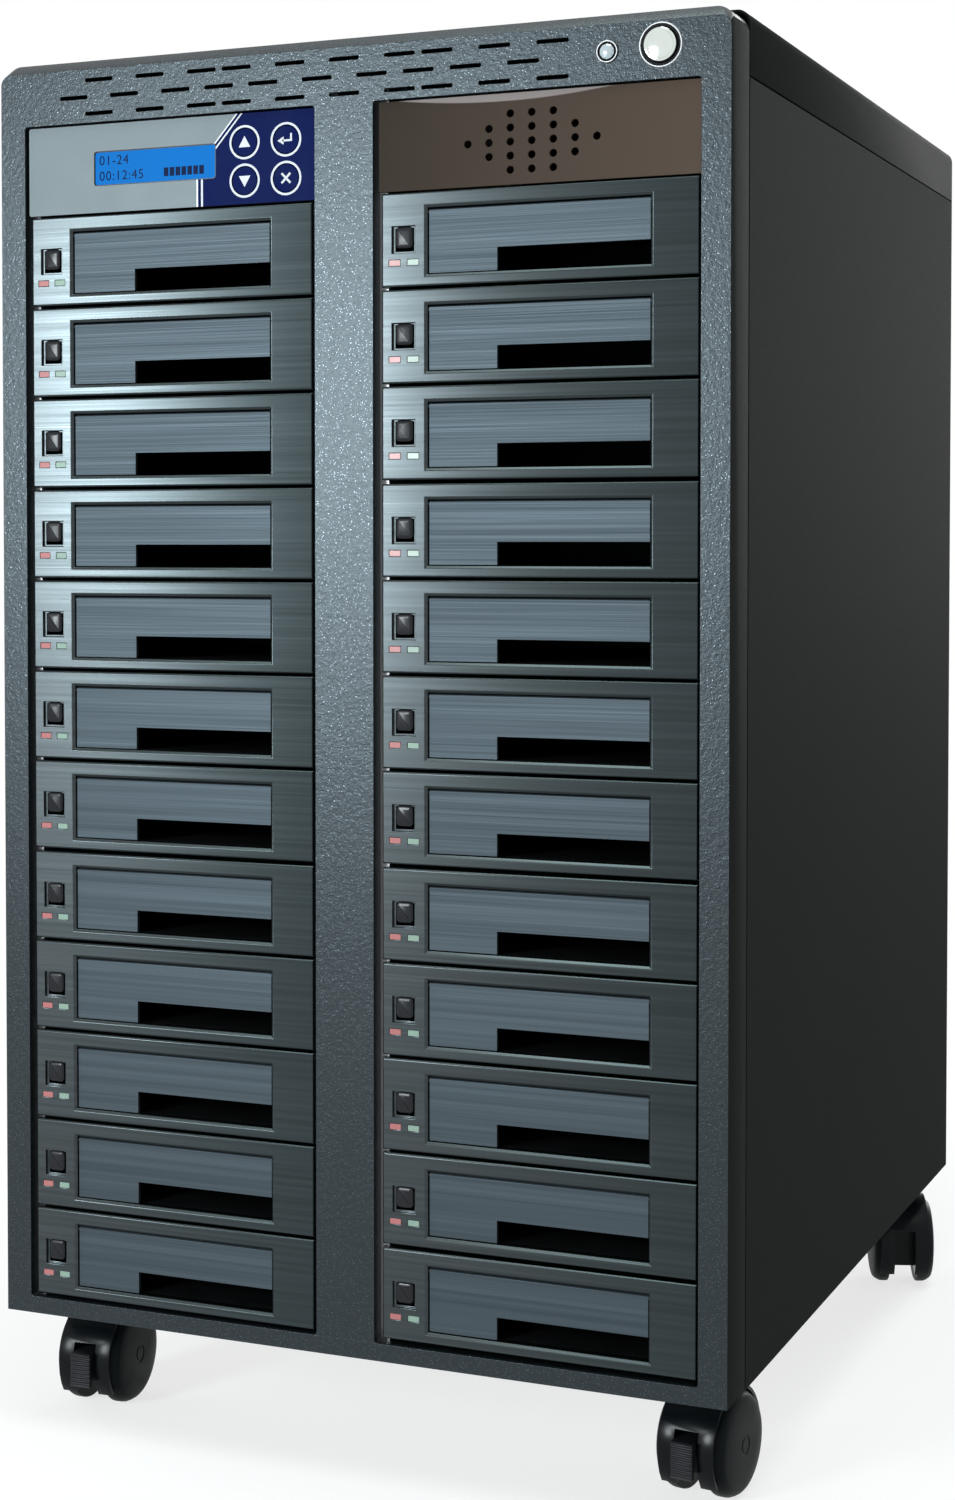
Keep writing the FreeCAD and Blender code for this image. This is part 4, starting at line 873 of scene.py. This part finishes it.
# %% Digits and blocks on the screen
DIGIT_HEIGHT = 6.2 * MM
DIGIT_SPACING = 1.12
TEXT_INSET = 2.2 * MM
COUNT_BASELINE = 1.6 * MM
TIME_BASELINE = -5.6 * MM
BLOCK_COUNT = 7
BLOCK_SIZE = (2.4 * MM, 4.0 * MM)
BLOCK_PITCH = 3.1 * MM
FIRST_BLOCK = (6.0 * MM, -3.4 * MM)
FINE_DISTANCE = 1e-7
text_left = window_centre.x - WINDOW_SPAN[0] / 2 + TEXT_INSET


def on_screen(x, z):
    """A place just in front of the screen, where its print lies."""
    return Vector((x, screen_level - INK, z))


def screen_text(name, words, baseline):
    """A row of plain digits; its baseline is measured from the middle of the window."""
    curve = bpy.data.curves.new(name, "FONT")
    curve.body = words
    curve.size = DIGIT_HEIGHT
    curve.space_character = DIGIT_SPACING
    holder = bpy.data.objects.new(name + "_curve", curve)
    bpy.context.scene.collection.objects.link(holder)
    mesh = bpy.data.meshes.new_from_object(holder.evaluated_get(bpy.context.evaluated_depsgraph_get()))
    bpy.data.objects.remove(holder)
    shape = bmesh.new()
    shape.from_mesh(mesh)
    bpy.data.meshes.remove(mesh)
    bmesh.ops.remove_doubles(shape, verts=shape.verts, dist=FINE_DISTANCE)
    lay_on_front(shape, on_screen(text_left, window_centre.z + baseline))
    keep_piece(name, shape, "cabinet", slots["display_module"], screen_print)


screen_text("display_count_digits", "01-24", COUNT_BASELINE)
screen_text("display_time_digits", "00:12:45", TIME_BASELINE)
blocks = bmesh.new()
for step in range(BLOCK_COUNT):
    flat_bar(blocks, *BLOCK_SIZE, 0, (step * BLOCK_PITCH, 0))
lay_on_front(blocks, on_screen(window_centre.x + FIRST_BLOCK[0], window_centre.z + FIRST_BLOCK[1]))
keep_piece("display_progress_blocks", blocks, "cabinet", slots["display_module"], screen_print)
print("digit height in mm:", round(DIGIT_HEIGHT / MM, 1), "blocks:", BLOCK_COUNT)

# %% [markdown]
# ## Turned pieces
# The power button, the rims, the power light and the caster wheels are round. Each is drawn as half of
# its section and spun about its axis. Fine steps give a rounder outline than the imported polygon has,
# and ten coarse ones give the power light its flat facets. The merged seam and the recalculated normals
# close the shape properly.

# %% Spin a section about an axis
SPIN_STEPS = 72


def spun(section, steps=SPIN_STEPS):
    """Spin a section of (along, radius) points about the X axis. It ends on the axis, or where it began."""
    shape = bmesh.new()
    points = [shape.verts.new((along, 0, radius)) for along, radius in section]
    for first, second in zip(points, points[1:]):
        shape.edges.new((first, second))
    bmesh.ops.spin(shape, geom=shape.verts[:] + shape.edges[:], cent=(0, 0, 0), axis=(1, 0, 0),
                   angle=math.tau, steps=steps, use_merge=True)
    bmesh.ops.remove_doubles(shape, verts=shape.verts, dist=FINE_DISTANCE)
    bmesh.ops.recalc_face_normals(shape, faces=shape.faces)
    for face in shape.faces:
        face.smooth = True
    return shape


def aim(shape, centre, direction):
    """Turn a shape's X axis to a direction and move it to its centre."""
    turn = Vector(direction).to_track_quat("X", "Z").to_matrix().to_4x4()
    shape.transform(Matrix.Translation(centre) @ turn)


print("degrees in a step of the spin:", 360 / SPIN_STEPS)

# %% Power button and its rim
cap_low, cap_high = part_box("power_button")
switch_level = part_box("power_switch_body")[0].y
cap_centre = (cap_low + cap_high) / 2
cap_radius = (cap_high.x - cap_low.x) / 2
CAP_LIP = 0.15 * MM
CAP_BACK = -5.0 * MM
STEM_RADIUS = 3.0 * MM
STEM_BACK = -17.0 * MM
RIM_GAP = 1.95 * MM
RIM_HEIGHT = 0.45 * MM
cap = spun([(0, 0), (0, cap_radius - 2.2 * MM), (-0.25 * MM, cap_radius - 1.5 * MM),
            (CAP_LIP, cap_radius - 1.1 * MM), (CAP_LIP, cap_radius - 0.55 * MM),
            (-0.05 * MM, cap_radius - 0.2 * MM), (-0.5 * MM, cap_radius), (CAP_BACK, cap_radius),
            (CAP_BACK, STEM_RADIUS), (STEM_BACK, STEM_RADIUS), (STEM_BACK, 0)])
aim(cap, (cap_centre.x, cap_low.y + CAP_LIP, cap_centre.z), (0, -1, 0))
cap_piece = keep_piece("power_button_cap", cap, nodes["power_button"]["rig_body"], slots["power_button"],
                       chrome)
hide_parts("power_button")
softened("power_switch_body", 0.2 * MM, switch_black, sharp_angle=math.radians(25))


def rim(height, inner, outer, top_inner, top_outer):
    """A raised rim; its base and its narrower top are given by their radii."""
    return spun([(0.0, outer), (0.0, inner), (height, top_inner), (height, top_outer), (0.0, outer)])


rim_radius = cap_radius + RIM_GAP
switch_rim = rim(RIM_HEIGHT, rim_radius - 0.35 * MM, rim_radius + 0.45 * MM,
                 rim_radius - 0.2 * MM, rim_radius + 0.2 * MM)
aim(switch_rim, (cap_centre.x, switch_level, cap_centre.z), (0, -1, 0))
keep_piece("power_switch_rim", switch_rim, "cabinet", slots["power_switch_body"], plain_steel)
print("cap diameter in mm:", round(2 * cap_radius / MM, 2))

# %% Power light
LIGHT_RADIUS = 3.3 * MM
COLLAR_RADIUS = 4.75 * MM
LIGHT_FACETS = 10
COLLAR_HEIGHT = 0.2 * MM
light_low, light_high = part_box("light_lenses")
light_centre = Vector((light_high.x - COLLAR_RADIUS, light_low.y, light_high.z - COLLAR_RADIUS))
dome = spun([(-0.6 * MM, 0), (-0.6 * MM, LIGHT_RADIUS), (0.0, LIGHT_RADIUS),
             (0.35 * MM, LIGHT_RADIUS - 0.7 * MM), (0.6 * MM, LIGHT_RADIUS - 1.8 * MM), (0.7 * MM, 0)],
            steps=LIGHT_FACETS)
for face in dome.faces:
    face.smooth = False
aim(dome, light_centre, (0, -1, 0))
keep_piece("power_light_dome", dome, "cabinet", slots["light_lenses"], clear_lens)
collar = rim(COLLAR_HEIGHT, 4.2 * MM, COLLAR_RADIUS, 4.3 * MM, 4.65 * MM)
aim(collar, light_centre, (0, -1, 0))
keep_piece("power_light_collar", collar, "cabinet", slots["light_lenses"], plain_steel)
print("light diameter in mm:", round(2 * LIGHT_RADIUS / MM, 1))

# %% [markdown]
# ## Caster wheels
# Each caster carries two discs with flat treads, softly domed outer faces and a small cap over the
# axle. The turning axis and its place come from the joint, so the new wheels spin exactly as the packed
# ones do. Their sections are in millimetres.

# %% Twin wheels
wheel_inside = 7.8
wheel_radius = 23.6
axle_radius = 3.5
wheel_section = [(wheel_inside, 0), (wheel_inside, 22.9), (8.2, 23.45), (8.8, wheel_radius),
                 (11.5, wheel_radius), (12.6, 23.45), (14.2, 22.75), (15.5, 21.9), (16.3, 21.0),
                 (16.8, 19.5), (17.2, 17.0), (17.5, 14.0), (17.7, 9.0), (17.75, 4.6), (17.45, 4.2),
                 (17.45, 3.4), (17.75, 3.0), (17.8, 0)]
axle_section = [(-wheel_inside, 0), (-wheel_inside, axle_radius), (wheel_inside, axle_radius),
                (wheel_inside, 0)]
joints = {joint["name"]: joint for joint in frame["joints"]}
for corner in corners:
    spin = joints["caster_spin_" + corner]
    pair = bmesh.new()
    for section, side in ((wheel_section, 1), (wheel_section, -1), (axle_section, 1)):
        part = spun([(along * MM, radius * MM) for along, radius in section])
        aim(part, (0, 0, 0), (side, 0, 0))
        merge_into(pair, part)
    aim(pair, spin["pos_m"], spin["axis"])
    node = "caster_wheels_" + corner
    wheels = keep_piece(node + "_turned", pair, nodes[node]["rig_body"], slots[node], wheel_black)
    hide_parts(node)
print("wheel diameter in mm:", 2 * wheel_radius)

# %% [markdown]
# ## Floor, background and light
# The tower stands on a plain white floor in front of a white background. The camera and the reflections
# see the background at full white, and for all other rays it is a dim fill. A cool softbox stands to the
# left of the front, where the powder coat mirrors it. One above lights the top, and broad ones further
# off at the sides and the rear keep every face readable. The floor fades to the same white a little way
# out, and keeps the tower's shadow near the casters.

# %% Floor
FLOOR_SIZE = 40.0
FADE_START = 0.35
FADE_END = 1.1
FLOOR_GLOW = 0.72


def seen_directly(tree):
    """1 for rays from the camera, mirrors and glass, and 0 for rays that carry light."""
    path = add_node(tree, "LightPath").outputs
    seen = calculate(tree, "MAXIMUM", path["Is Camera Ray"], path["Is Transmission Ray"])
    return calculate(tree, "MAXIMUM", seen, path["Is Glossy Ray"])


def studio_floor():
    material, tree, shader, place = start_material("studio_floor", (0.86, 0.87, 0.88), 0.9, specular=0.1)
    blend_color(tree, noise(tree, place, 3.0), (0.855, 0.865, 0.875), (0.865, 0.875, 0.885),
                shader.inputs["Base Color"])
    away = add_node(tree, "VectorMath", operation="LENGTH")
    link(tree, place, away.inputs[0])
    fade = remap(tree, away.outputs["Value"], FLOOR_GLOW, 1.0, FADE_START, FADE_END,
                 interpolation_type="SMOOTHSTEP")
    white = add_node(tree, "Emission")
    joined = add_node(tree, "MixShader", Fac=calculate(tree, "MULTIPLY", fade, seen_directly(tree)))
    link(tree, shader.outputs["BSDF"], joined.inputs[1])
    link(tree, white.outputs["Emission"], joined.inputs[2])
    link(tree, joined.outputs["Shader"], tree.nodes["Material Output"].inputs["Surface"])
    shape = bmesh.new()
    bmesh.ops.create_grid(shape, x_segments=1, y_segments=1, size=FLOOR_SIZE / 2)
    mesh = bpy.data.meshes.new("studio_floor")
    shape.to_mesh(mesh)
    shape.free()
    mesh.materials.append(material)
    floor = bpy.data.objects.new("studio_floor", mesh)
    bpy.context.scene.collection.objects.link(floor)


studio_floor()
print("floor in metres:", FLOOR_SIZE, "pure white beyond:", FADE_END)

# %% Background
AMBIENT = 0.36


def studio_world():
    world = bpy.data.worlds.new("studio_world")
    bpy.context.scene.world = world
    world.use_nodes = True
    tree = world.node_tree
    background = tree.nodes["Background"]
    background.inputs["Color"].default_value = (1, 1, 1, 1)
    link(tree, remap(tree, seen_directly(tree), AMBIENT, 1.0), background.inputs["Strength"])


studio_world()
print("background as seen:", 1.0, "as light:", AMBIENT)


# %% Softboxes
def softbox(name, place, aim_height, width, height, watts, color=(1, 1, 1)):
    """A rectangular lamp that is aimed at a height on the tower's middle line."""
    lamp = bpy.data.lights.new(name, "AREA")
    lamp.shape = "RECTANGLE"
    lamp.size = width
    lamp.size_y = height
    lamp.energy = watts
    lamp.color = color
    light = bpy.data.objects.new(name, lamp)
    bpy.context.scene.collection.objects.link(light)
    light.location = place
    towards = Vector((0, 0, aim_height)) - Vector(place)
    light.rotation_euler = towards.to_track_quat("-Z", "Y").to_euler()


softbox("key_softbox", (-0.69, -1.70, 0.60), 0.45, 0.32, 0.46, 23.5, (0.90, 0.97, 1.0))
softbox("top_softbox", (0.2, -0.5, 2.2), 0.3, 1.2, 1.2, 34.0, (0.90, 1.0, 0.96))
softbox("side_softbox", (2.4, 0.5, 1.0), 0.35, 1.2, 1.6, 7.0)
softbox("left_softbox", (-2.6, 0.6, 1.2), 0.35, 1.2, 1.6, 26.0)
softbox("rear_softbox", (0.5, 2.6, 1.1), 0.35, 1.2, 1.6, 40.0)
print("lamps:", len(bpy.data.lights))
